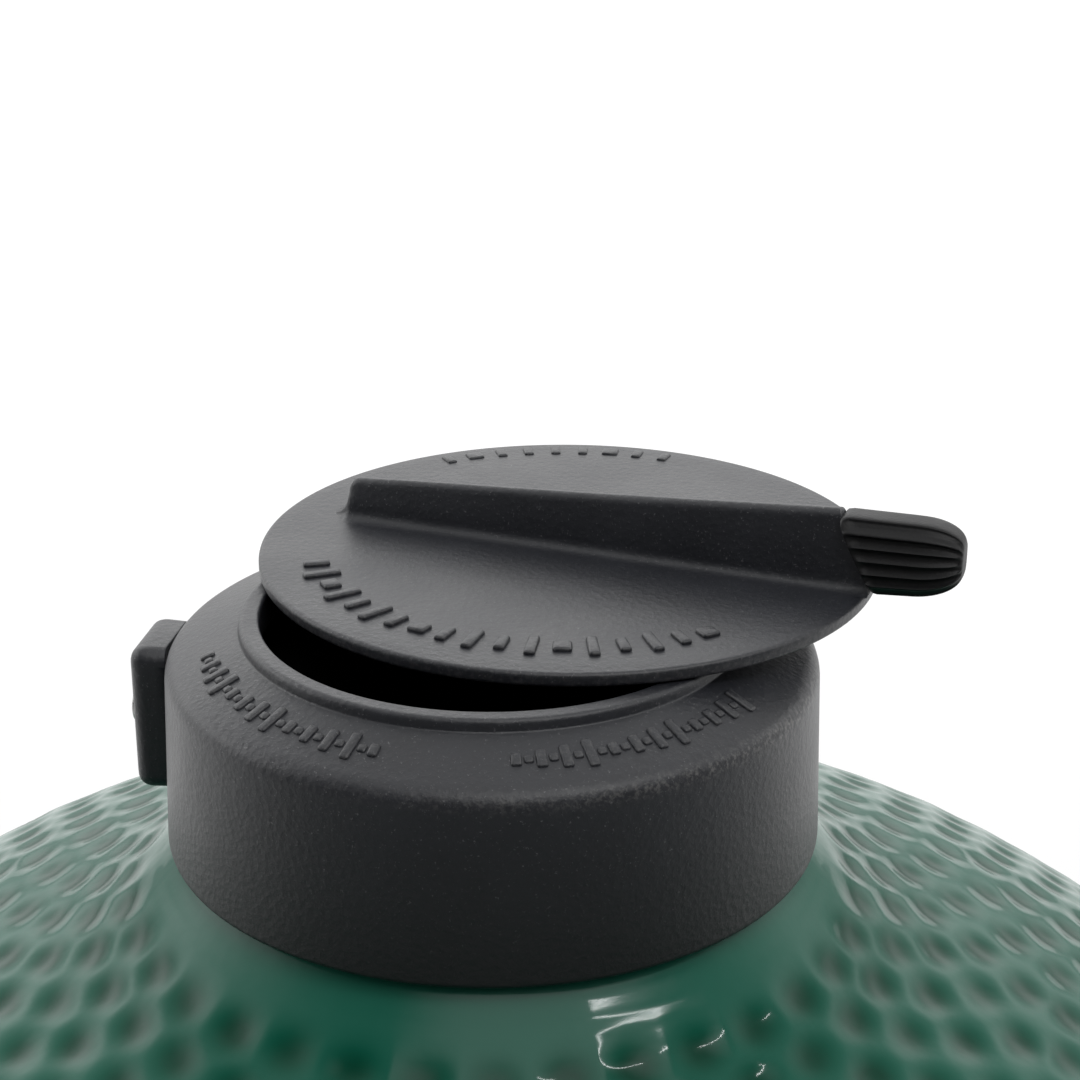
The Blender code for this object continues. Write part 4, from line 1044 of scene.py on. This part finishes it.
def rivet(top_r, foot_r, azimuth, z):
    """A rivet's low dome on the outside of a hinge or handle strap."""
    profile = soften([(0, 0.0022), (top_r, 0.0018), (foot_r, -0.0005), (0, -0.0005)], 0.0006, 3,
                     closed=False)
    return lathe("rivet", profile, 24, closed=False,
                 axis=frame_at(around(STRAP_OUT, azimuth, z), around(1, azimuth)))


def circle_arc(centre, radius, start, end, count):
    """Points along an arc, from and to an angle in degrees."""
    return [(centre[0] + radius * math.cos(math.radians(start + (end - start) * i / (count - 1))),
             centre[1] + radius * math.sin(math.radians(start + (end - start) * i / (count - 1))))
            for i in range(count)]


def make_hinge_bracket(node, heights, ear_x, body):
    """A strap with two ears, each with a boss for the pin."""
    low, high = heights
    half = math.asin((ear_x + 0.012) / STRAP_OUT)
    pieces = [eased(strap(STRAP_IN, STRAP_OUT, low, high, 0.0010, 24, math.pi / 2 - half, 2 * half),
                    0.0012)]
    foot_y = math.sqrt(STRAP_IN ** 2 - ear_x ** 2) + 0.0025
    upper = high > HINGE.z + 0.01
    start, end = (-60, 150) if upper else (-150, 60)
    eye = circle_arc((HINGE.y, HINGE.z), 0.014, start, end, 28)
    outline = [(foot_y, low + 0.003)] + eye + [(foot_y, high - 0.003)]
    for side in (-1, 1):
        pieces.append(extruded("ear", outline, 0.0025, Matrix.Translation((side * ear_x, 0, 0)) @ UPRIGHT,
                               0.0009))
        boss = soften(rectangle(0.0055, -0.0034, 0.0095, 0.0034), 0.0006, 3)
        pieces.append(lathe("boss", boss, 40, axis=frame_at((side * ear_x, HINGE.y, HINGE.z), (1, 0, 0))))
        for y in (-0.008, 0.008):
            place = math.atan2(STRAP_OUT, side * (ear_x - 0.016))
            pieces.append(rivet(0.0030, 0.0038, place, (low + high) / 2 + y))
    made = merged(node + "_casting", *pieces, sharp=50)
    finish_piece(made, body, "cast_iron", node)


def make_hinge():
    """Both brackets, the pin and the two springs round it."""
    base_ear_x, dome_ear_x = 0.048, 0.036
    make_hinge_bracket("hinge_base_bracket", (0.388, 0.4235), base_ear_x, "base")
    make_hinge_bracket("hinge_dome_bracket", (0.4365, 0.474), dome_ear_x, "lid")
    half = base_ear_x + 0.0025 + 0.004
    profile = [(0, half), (0.005, half, 0.0012), (0.005, -half, 0.0), (0.008, -half, 0.0006),
               (0.008, -half - 0.003, 0.0012), (0, -half - 0.003)]
    turned_piece("hinge_pin_rod", profile, 0.0006, 4, 48, "base", "bright_steel", "hinge_pin",
                 axis=frame_at(HINGE, (1, 0, 0)), sharp=50)
    spring_r, gauge = 0.0105, 0.0026
    for side, word in ((-1, "left"), (1, "right")):
        steps, turns = 36, 4
        pitch = gauge * 1.25
        points = []
        for i in range(turns * steps + 1):
            a = TAU * i / steps - math.pi / 2
            points.append((side * (0.006 + pitch * i / steps), HINGE.y + spring_r * math.cos(a),
                           HINGE.z + spring_r * math.sin(a)))
        last, first = points[-1], points[0]
        tail = [(last[0], last[1] - 0.020 * t, last[2] - 0.002 * t) for t in (0.2, 0.6, 1.0)]
        head = [(first[0], first[1] + 0.012 * t, first[2] - 0.001 * t) for t in (1.0, 0.6, 0.2)]
        coil = wire(f"hinge_coil_{word}", head + points + tail, gauge / 2, 12)
        finish_piece(coil, "base", "bright_steel", f"hinge_spring_{word}")


# ---- handle ----
def make_handle():
    """The wooden bar, its two brackets and their screws."""
    low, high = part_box("handle_grip")
    middle = (low + high) / 2
    reach, bar_z, half = -middle.y, middle.z, high.x
    bar_r, out_x = (high.z - low.z) / 2, half + 0.0033
    waist = bar_r - 0.0015
    profile = [(0.0043, half, 0.0), (waist - 0.001, half, 0.0020), (waist, half - 0.006, 0.004),
               (bar_r, half - 0.045, 0.03), (bar_r, -half + 0.045, 0.03),
               (waist, -half + 0.006, 0.004), (waist - 0.001, -half, 0.0020), (0.0043, -half, 0.0)]
    turned_piece("handle_wood_bar", profile, 0.001, 6, 72, "lid", "handle_wood", "handle_grip",
                 axis=frame_at((0, -reach, bar_z), (1, 0, 0)))
    for side, word in ((-1, "left"), (1, "right")):
        make_handle_bracket(f"handle_bracket_{word}", side, out_x, reach, bar_z)
        turn = frame_at((0, -reach, bar_z), (-side, 0, 0))
        start = -(out_x + 0.0033)
        screw = bolt(f"handle_screw_{word}", 0.008, 0.005, 0.004, start, -(out_x - 0.030), turn)
        finish_piece(screw, "lid", "bright_steel", f"handle_bolt_{word}")


def make_handle_bracket(node, side, x, reach, bar_z):
    """A riveted pad with an arm that holds one end of the bar."""
    azimuth = FRONT + side * math.asin(x / STRAP_OUT)
    half = math.radians(4.0)
    low, high = bar_z - 0.0135, bar_z + 0.0115
    pad = eased(strap(STRAP_IN, STRAP_OUT, low, high, 0.0010, 10, azimuth - half, 2 * half), 0.0014)
    root = -math.sqrt(STRAP_IN ** 2 - (x - 0.003) ** 2) - 0.0022
    eye = circle_arc((-reach, bar_z), 0.013, 100, 260, 28)
    outline = [(root, low + 0.002), (root, high - 0.002)] + eye
    arm = extruded("arm", outline, 0.003, Matrix.Translation((side * x, 0, 0)) @ UPRIGHT, 0.0011)
    rivets = []
    for turn in (-2.6, 2.6):
        rivets.append(rivet(0.0028, 0.0036, azimuth + math.radians(turn), bar_z - 0.001))
    made = merged(node + "_casting", pad, arm, *rivets, sharp=50)
    finish_piece(made, "lid", "cast_iron", node)


# ---- thermometer ----
def make_gauge_scale(place):
    """The dial's ticks, its red zone and its plain temperature numbers."""
    ticks = []
    for i in range(28):
        a = math.radians(225 - 270 * i / 27)
        long = i % 3 == 0
        turn = place @ Matrix.Rotation(a, 4, "Z") @ Matrix.Translation((0.0215 if long else 0.0222, 0, 0))
        half, thin = (0.0026, 0.0004) if long else (0.0015, 0.00022)
        ticks.append(block("tick", (-half, -thin, 0.0050), (half, thin, 0.00545), 0.0001, 1, turn))
    zone = lathe("zone", rectangle(0.0150, 0.00542, 0.0168, 0.0052), 48,
                 start=math.radians(-20), sweep=math.radians(95), axis=place)
    marks = merged("gauge_ticks", *ticks)
    finish_piece(marks, "lid", "black_silicone")
    finish_piece(zone, "lid", "needle_red")
    numbers = []
    for i, text in enumerate(("50", "100", "150", "200", "250", "300", "350")):
        a = math.radians(225 - 45 * i)
        data = bpy.data.curves.new("number", "FONT")
        data.body, data.size, data.extrude = text, 0.0042, 0.00008
        data.align_x, data.align_y = "CENTER", "CENTER"
        label = bpy.data.objects.new("number", data)
        flat = bpy.data.meshes.new_from_object(label)
        bpy.data.objects.remove(label, do_unlink=True)
        spot = place @ Matrix.Translation((0.0125 * math.cos(a) * 0.92, 0.0125 * math.sin(a) * 0.92,
                                           0.00538))
        flat.transform(spot)
        numbers.append(placed("number", flat))
    figures = merged("gauge_figures", *numbers)
    finish_piece(figures, "lid", "black_silicone")


def make_needle(place):
    """The red hand on its hub, at the scale's low end."""
    hub = soften([(0, 0.0082), (0.0018, 0.0082, 0.0006), (0.0030, 0.0074, 0.0006),
                  (0.0030, 0.0060, 0.0003),
                  (0.0012, 0.0060, 0.0001), (0.0012, 0.0046, 0.0002), (0, 0.0046)], 0.0003, 4,
                  closed=False)
    hub = lathe("hub", hub, 40, closed=False, axis=place)
    hand = [(0.0200, 0.0), (0.0120, 0.0008), (-0.001, 0.0016), (-0.008, 0.0011), (-0.008, -0.0011),
            (-0.001, -0.0016), (0.0120, -0.0008)]
    turn = place @ Matrix.Rotation(math.radians(225), 4, "Z") @ Matrix.Translation((0, 0, 0.0069))
    hand = extruded("hand", hand, 0.0004, turn, 0.0001)
    needle = merged("gauge_needle", hub, hand, sharp=40)
    finish_piece(needle, "needle", "needle_red", "thermometer_needle")


def make_thermometer():
    """The gauge: case, bezel, lens, dial, scale, nut, probe and needle."""
    place = frame_at(GAUGE, GAUGE_OUT)
    r, back, inside = 0.030, 0.0022, 0.0275
    case = [(0, back + 0.002, 0.0), (inside, back + 0.002, 0.0006), (inside, 0.013, 0.0004),
            (r, 0.013, 0.0004), (r, back, 0.0012), (0.0085, back, 0.0008), (0.0085, -0.033, 0.0006),
            (0, -0.033, 0.0)]
    turned_piece("gauge_case", case, 0.0005, 4, 96, "lid", "bright_steel", "thermometer_case",
                 axis=place, sharp=50)
    bezel = [(r - 0.006, 0.0131, 0.0004), (r - 0.0052, 0.0156, 0.0008), (r + 0.0006, 0.0158, 0.0014),
             (r + 0.0018, 0.0135, 0.0012), (r + 0.0018, 0.0070, 0.0005), (r + 0.0003, 0.0070, 0.0002),
             (r + 0.0003, 0.0132, 0.0002)]
    turned_piece("gauge_bezel", bezel, 0.0005, 4, 96, "lid", "bright_steel", "thermometer_bezel",
                 closed=True, axis=place, sharp=60)
    lens = [(0, 0.0130), (0.018, 0.0126, 0.01), (inside - 0.0004, 0.0120, 0.0002),
            (inside - 0.0004, 0.0108, 0.0002), (0, 0.0108)]
    turned_piece("gauge_lens", lens, 0.0004, 6, 96, "lid", "clear_glass", "thermometer_lens",
                 axis=place, sharp=50)
    plate = [(0.0016, 0.0053, 0.0001), (inside - 0.0003, 0.0053, 0.0002),
             (inside - 0.0003, 0.0045, 0.0001), (0.0016, 0.0045, 0.0001)]
    turned_piece("gauge_dial", plate, 0.0001, 2, 96, "lid", "dial_face", "thermometer_dial",
                 closed=True, axis=place)
    make_gauge_scale(place)
    nut = hexagon("gauge_nut", 0.014, 0.0088, -0.0325, -0.0275, place)
    finish_piece(nut, "lid", "bright_steel", "thermometer_nut")
    probe = [(0, -0.0333), (0.003, -0.0333, 0.0005), (0.003, -0.0820, 0.0028), (0, -0.083)]
    turned_piece("gauge_probe", probe, 0.0005, 5, 40, "lid", "bright_steel", "thermometer_probe",
                 axis=place)
    make_needle(place)


# ---- draft door ----
def curved(name, profile, half_low, half_high, steps, round_by=0.0006):
    """A profile swept round the base's front, between two angles in degrees."""
    start = FRONT + math.radians(half_low)
    made = lathe(name, profile, steps, start=start, sweep=math.radians(half_high - half_low), sharp=50)
    return eased(made, round_by)


def cut_away(obj, *cutters):
    """Cuts holes through a piece and leaves no modifier behind."""
    for tool in cutters:
        step = obj.modifiers.new("cut", "BOOLEAN")
        step.operation, step.solver, step.object = "DIFFERENCE", "EXACT", tool
    graph = bpy.context.evaluated_depsgraph_get()
    made = bpy.data.meshes.new_from_object(obj.evaluated_get(graph), depsgraph=graph)
    obj.modifiers.clear()
    obj.data = made
    for tool in cutters:
        bpy.data.objects.remove(tool, do_unlink=True)
    smoothed(made, 40)
    return obj


def drill(radius, start, end, place, out):
    """A rod that cuts a round hole."""
    return lathe("drill", rectangle(0, end, radius, start), 32, closed=False,
                 axis=frame_at(place, out))


def make_draft_door():
    """The frame round the draft opening, with the perforated screen and the door in it."""
    low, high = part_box("draft_frame")[0].z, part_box("draft_frame")[1].z
    back = -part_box("draft_frame")[0].y - 0.0092
    shelf, lip, out = 0.005, 0.009, back + 0.0092
    channel = [(back, low), (out, low), (out, low + lip), (out - 0.0022, low + lip),
               (out - 0.0022, low + shelf), (back + 0.002, low + shelf), (back + 0.002, high - shelf),
               (out - 0.0022, high - shelf), (out - 0.0022, high - lip), (out, high - lip), (out, high),
               (back, high)]
    frame_piece = lathe("draft_channel", channel, 56, start=FRONT - math.radians(32.5),
                        sweep=math.radians(65), sharp=40)
    window = lathe("window", rectangle(back - 0.01, OPENING_LOW, back + 0.004, OPENING_HIGH), 24,
                   start=FRONT - math.radians(9.3), sweep=math.radians(18.6))
    cut_away(frame_piece, window)
    eased(frame_piece, 0.0005, 50)
    finish_piece(frame_piece, "base", "bright_steel", "draft_frame")
    panel_low, panel_high = low + 0.0055, high - 0.0055
    screen_in = back + 0.0025
    screen = lathe("screen", rectangle(screen_in, panel_low, screen_in + 0.0014, panel_high), 40,
                   start=FRONT - math.radians(13.0), sweep=math.radians(23.5))
    holes = [drill(0.0038, back - 0.006, back + 0.015, (0, 0, OPENING_LOW + 0.0095 + 0.013 * row),
                   around(1, FRONT + math.radians(-6.8 + 3.4 * column)))
             for row in range(3) for column in range(5)]
    cut_away(screen, *holes)
    finish_piece(screen, "ember_screen", "bright_steel", "ember_screen")
    door_in = screen_in + 0.0020
    door = curved("draft_panel", rectangle(door_in, panel_low, door_in + 0.0015, panel_high),
                  -10.5, 10.5, 36, 0.0004)
    finish_piece(door, "draft_door", "bright_steel", "draft_door")
    middle = (low + high) / 2
    tip = back + 0.0257
    for node, body, start, turn in (("draft_door_knob", "draft_door", door_in + 0.0021, 7.5),
                                    ("ember_screen_knob", "ember_screen", screen_in + 0.0020, -12.2)):
        profile = [(0, tip + 0.0002), (0.0042, tip, 0.0015), (0.006, tip - 0.0025, 0.0015),
                   (0.006, tip - 0.006, 0.0012), (0.0028, tip - 0.008, 0.0010),
                   (0.0025, start, 0.0002), (0, start)]
        turned_piece(node + "_turned", profile, 0.0008, 5, 40, body, "black_silicone", node,
                     axis=frame_at((0, 0, middle), around(1, FRONT + math.radians(turn))))


# ---- fire and grids ----
def make_fire_parts():
    """The firebox, the fire ring on it and the grate in it."""
    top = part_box("firebox")[1].z
    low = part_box("firebox")[0].z
    grate_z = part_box("fire_grate")[0].z - 0.0003
    profile = soften([(0.180, top), (0.206, top), (0.192, 0.205, 0.02), (0.163, 0.115, 0.02),
                      (0.146, low, 0.004), (0.112, low, 0.004), (0.100, 0.080, 0.004),
                      (0.100, grate_z, 0.002), (0.114, grate_z, 0.001),
                      (0.114, grate_z + 0.012, 0.003), (0.165, 0.215, 0.02)], 0.004, 4)
    firebox = lathe("firebox_clay", profile, 96)
    mouth = block("mouth", (-OPENING_HALF_W, -0.200, OPENING_LOW),
                  (OPENING_HALF_W, -0.070, OPENING_HIGH), 0.003)
    holes = [drill(0.009, 0.110, 0.215, (0, 0, 0.185), around(1, TAU / 6 * i)) for i in range(6)]
    cut_away(firebox, mouth, *holes)
    finish_piece(firebox, "base", "raw_ceramic", "firebox")
    low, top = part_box("fire_ring")[0].z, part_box("fire_ring")[1].z
    profile = soften([(0.182, top), (0.216, top), (0.208, low), (0.180, low)], 0.004, 4)
    ring = lathe("fire_ring_clay", profile, 96)
    notches = [drill(0.012, 0.150, 0.230, (0, 0, top + 0.002), around(1, math.radians(30 + 120 * i)))
               for i in range(3)]
    cut_away(ring, *notches)
    finish_piece(ring, "base", "raw_ceramic", "fire_ring")
    low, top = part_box("fire_grate")[0].z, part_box("fire_grate")[1].z
    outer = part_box("fire_grate")[1].x
    pieces = [lathe("rim", soften(rectangle(0.094, top, outer, low), 0.0015, 3), 96)]
    bars_r, bar_half = 0.0975, 0.0063
    for i in range(-4, 5):
        x = 0.012 + 0.024 * i
        reach = math.sqrt(max(0.0, bars_r ** 2 - x * x))
        if reach > 0.02:
            pieces.append(block("bar", (x - bar_half, -reach, low), (x + bar_half, reach, top), 0.0015))
    pieces.append(block("tie", (-bars_r, -0.006, low + 0.0005), (bars_r, 0.006, top - 0.0010), 0.0015))
    grate = merged("fire_grate_casting", *pieces)
    grate.data.shade_smooth()
    wear_and_painted_light_attribute(grate, lambda co: 0.3)
    finish_piece(grate, "base", "cast_iron", "fire_grate")


def make_cooking_grid():
    """Round rods on two stays, inside a ring."""
    low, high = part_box("cooking_grid")
    outer, bottom, rod = high.x, low.z, 0.0035
    ring = [(outer - rod + rod * math.cos(TAU * i / 16), bottom + rod + rod * math.sin(TAU * i / 16))
            for i in range(16)]
    pieces = [lathe("rim", ring, 160)]
    reach = outer - 0.003
    bar_z, stay_z, bar_r = bottom + 0.0044, bottom + 0.0028, 0.0024
    for i in range(-9, 10):
        x = 0.0225 * i
        y = math.sqrt(reach ** 2 - (abs(x) + 0.0025) ** 2)
        pieces.append(wire("bar", [(x, -y, bar_z), (x, 0, bar_z), (x, y, bar_z)], bar_r, 14))
    for y in (-0.110, 0.110):
        x = math.sqrt(reach ** 2 - 0.114 ** 2)
        pieces.append(wire("stay", [(-x, y, stay_z), (0, y, stay_z), (x, y, stay_z)], bar_r, 14))
    grid = merged("cooking_grid_rods", *pieces, sharp=60)
    finish_piece(grid, "base", "bright_steel", "cooking_grid")


def make_feet():
    """Three curved clay blocks under the base."""
    top = BASE_BOTTOM - 0.0003
    profile = soften([(0.089, 0.0), (0.149, 0.0), (0.150, 0.010), (0.146, top), (0.092, top),
                      (0.088, 0.010)], 0.003, 4)
    for i in range(3):
        half = math.radians(17)
        foot = lathe(f"foot_block_{i + 1}", profile, 24, start=math.radians(90 + 120 * i) - half,
                     sweep=2 * half, sharp=50)
        eased(foot, 0.003)
        finish_piece(foot, "base", "raw_ceramic", f"foot_{i + 1}")


# ---- studio ----
def make_camera():
    """The view of the cap, from in front and above."""
    f, width = 2200.0, 1080.0
    pitch, yaw, roll = 0.3755, 0.023, 0.003
    ahead = Vector((math.sin(yaw) * math.cos(pitch), math.cos(yaw) * math.cos(pitch), -math.sin(pitch)))
    right = Vector((math.cos(yaw), -math.sin(yaw), 0))
    up = right.cross(ahead)
    x = math.cos(roll) * right + math.sin(roll) * up
    y = -math.sin(roll) * right + math.cos(roll) * up
    data = bpy.data.cameras.new("camera")
    data.sensor_width = 36.0
    data.lens = f / width * 36.0
    data.clip_start = 0.01
    camera = placed("camera", data)
    turn = Matrix((x, y, -ahead)).transposed().to_4x4()
    camera.matrix_world = Matrix.Translation((0.0001, -0.4544, CAP_Z + 0.2472)) @ turn
    bpy.context.scene.camera = camera


def area_light(name, place, target, size, power, up):
    """A rectangular lamp that faces a point."""
    data = bpy.data.lights.new(name, "AREA")
    data.shape = "RECTANGLE"
    data.size, data.size_y = size
    data.energy = power
    placed(name, data).matrix_world = frame_at(place, Vector(place) - Vector(target), up)


def make_studio():
    """A white room: brightest behind and above the cooker, dim towards the camera."""
    world = bpy.data.worlds.new("studio")
    world.use_nodes = True
    nodes, links = world.node_tree.nodes, world.node_tree.links
    ground = nodes["Background"]
    ground.inputs["Color"].default_value = (1, 1, 1, 1)
    place = nodes.new("ShaderNodeTexCoord")
    split = nodes.new("ShaderNodeSeparateXYZ")
    links.new(place.outputs["Generated"], split.inputs["Vector"])

    def fade(source, low, high, start, end):
        node = nodes.new("ShaderNodeMapRange")
        node.interpolation_type = "SMOOTHSTEP"
        for name, value in (("From Min", low), ("From Max", high), ("To Min", start), ("To Max", end)):
            node.inputs[name].default_value = value
        links.new(source, node.inputs["Value"])
        return node.outputs["Result"]

    def combine(kind, a, b):
        node = nodes.new("ShaderNodeMath")
        node.operation = kind
        links.new(a, node.inputs[0])
        links.new(b, node.inputs[1])
        return node.outputs["Value"]

    x, y, z = (split.outputs[axis] for axis in "XYZ")
    back = combine("MULTIPLY", fade(y, -0.45, 0.25, 0.025, 1.0), fade(z, 0.20, 0.80, 3.0, 0.75))
    back = combine("MULTIPLY", back, fade(z, 0.0, 0.38, 0.16, 1.0))
    back = combine("MULTIPLY", back, fade(x, -0.1, 0.9, 1.0, 0.65))
    lean = nodes.new("ShaderNodeVectorMath")
    lean.operation = "DOT_PRODUCT"
    links.new(place.outputs["Generated"], lean.inputs[0])
    lean.inputs[1].default_value = (0.15, -0.50, 0.85)
    lit = combine("ADD", back, fade(lean.outputs["Value"], 0.82, 0.99, 0.0, 1.9))
    seen = nodes.new("ShaderNodeMix")
    links.new(nodes.new("ShaderNodeLightPath").outputs["Is Camera Ray"], seen.inputs["Factor"])
    links.new(lit, seen.inputs["A"])
    seen.inputs["B"].default_value = 1.0
    links.new(seen.outputs["Result"], ground.inputs["Strength"])
    bpy.context.scene.world = world
    bpy.context.scene.view_settings.view_transform = "Standard"
    area_light("strip", (0.90, -0.58, 1.85), (0.03, -0.08, 0.665), (0.62, 0.016), 2.3,
               up=(-0.386, 0.716, 0.585))


def make_floor():
    """A wide pale floor that fades into the room's white, away from the cooker."""
    reach = 90.0
    corners = [(-reach, -reach, 0), (reach, -reach, 0), (reach, reach, 0), (-reach, reach, 0)]
    floor = mesh_object("studio_floor", corners, [(0, 1, 2, 3)])
    look = Look("pale_floor", Roughness=0.85, Emission_Color=(1, 1, 1, 1))
    turn = look.node("ShaderNodeSeparateXYZ")
    look.link(look.place, turn.inputs["Vector"])
    far = look.math("MULTIPLY", look.math("ADD", turn.outputs["Y"], 0.9), 0.5)
    lit = look.ramp(far, (0.0, 0.0), (1.0, 1.0))
    round_it = look.node("ShaderNodeVectorMath", operation="LENGTH")
    look.link(look.place, round_it.inputs[0])
    away = look.math("MULTIPLY", round_it.outputs["Value"], 0.25)
    seen = look.ramp(away, (0.1, 0.70), (1.0, 1.0))
    camera_ray = look.node("ShaderNodeLightPath").outputs["Is Camera Ray"]
    look.set("Emission Strength", look.mix(camera_ray, lit, seen))
    cloud = look.noise(3, 3, 0.5)
    look.set("Base Color", look.ramp(cloud, (0.2, (0.20, 0.20, 0.20)), (0.8, (0.22, 0.22, 0.22))))
    floor.data.materials.append(look.material)


SLOT_LOOKS = {
    "glazed_ceramic": glaze_look(),
    "raw_ceramic": fire_clay_look(),
    "cast_iron": cast_look(),
    "black_silicone": silicone_look(),
    "felt": felt_look(),
    "band_steel": coated_steel_look(),
    "bright_steel": steel_look(),
    "handle_wood": wood_look(),
    "dial_face": plain_look("dial_enamel", (0.80, 0.80, 0.78), (0.86, 0.86, 0.84), 0.5),
    "needle_red": plain_look("needle_paint", (0.50, 0.03, 0.02), (0.60, 0.05, 0.03), 0.4),
    "clear_glass": glass_look()}


def dress_cad_nodes():
    """Every CAD node takes its slot's full material."""
    for part in frame["record"]["subparts"]:
        obj = frame["nodes"][part["node"]]
        obj.data.materials.clear()
        obj.data.materials.append(SLOT_LOOKS[part["material_slot"]])


make_camera()
make_studio()
make_floor()
dress_cad_nodes()
make_dome()
make_base()
make_vent_ring()
cone_marks()
make_vent_disc()
disc_marks()
make_grip()
make_clamp()
make_vent_gasket()
make_gaskets()
make_band("lower_band", math.pi, "base")
make_band("upper_band", 0.0, "lid")
make_hinge()
make_handle()
make_thermometer()
make_draft_door()
make_fire_parts()
make_cooking_grid()
make_feet()
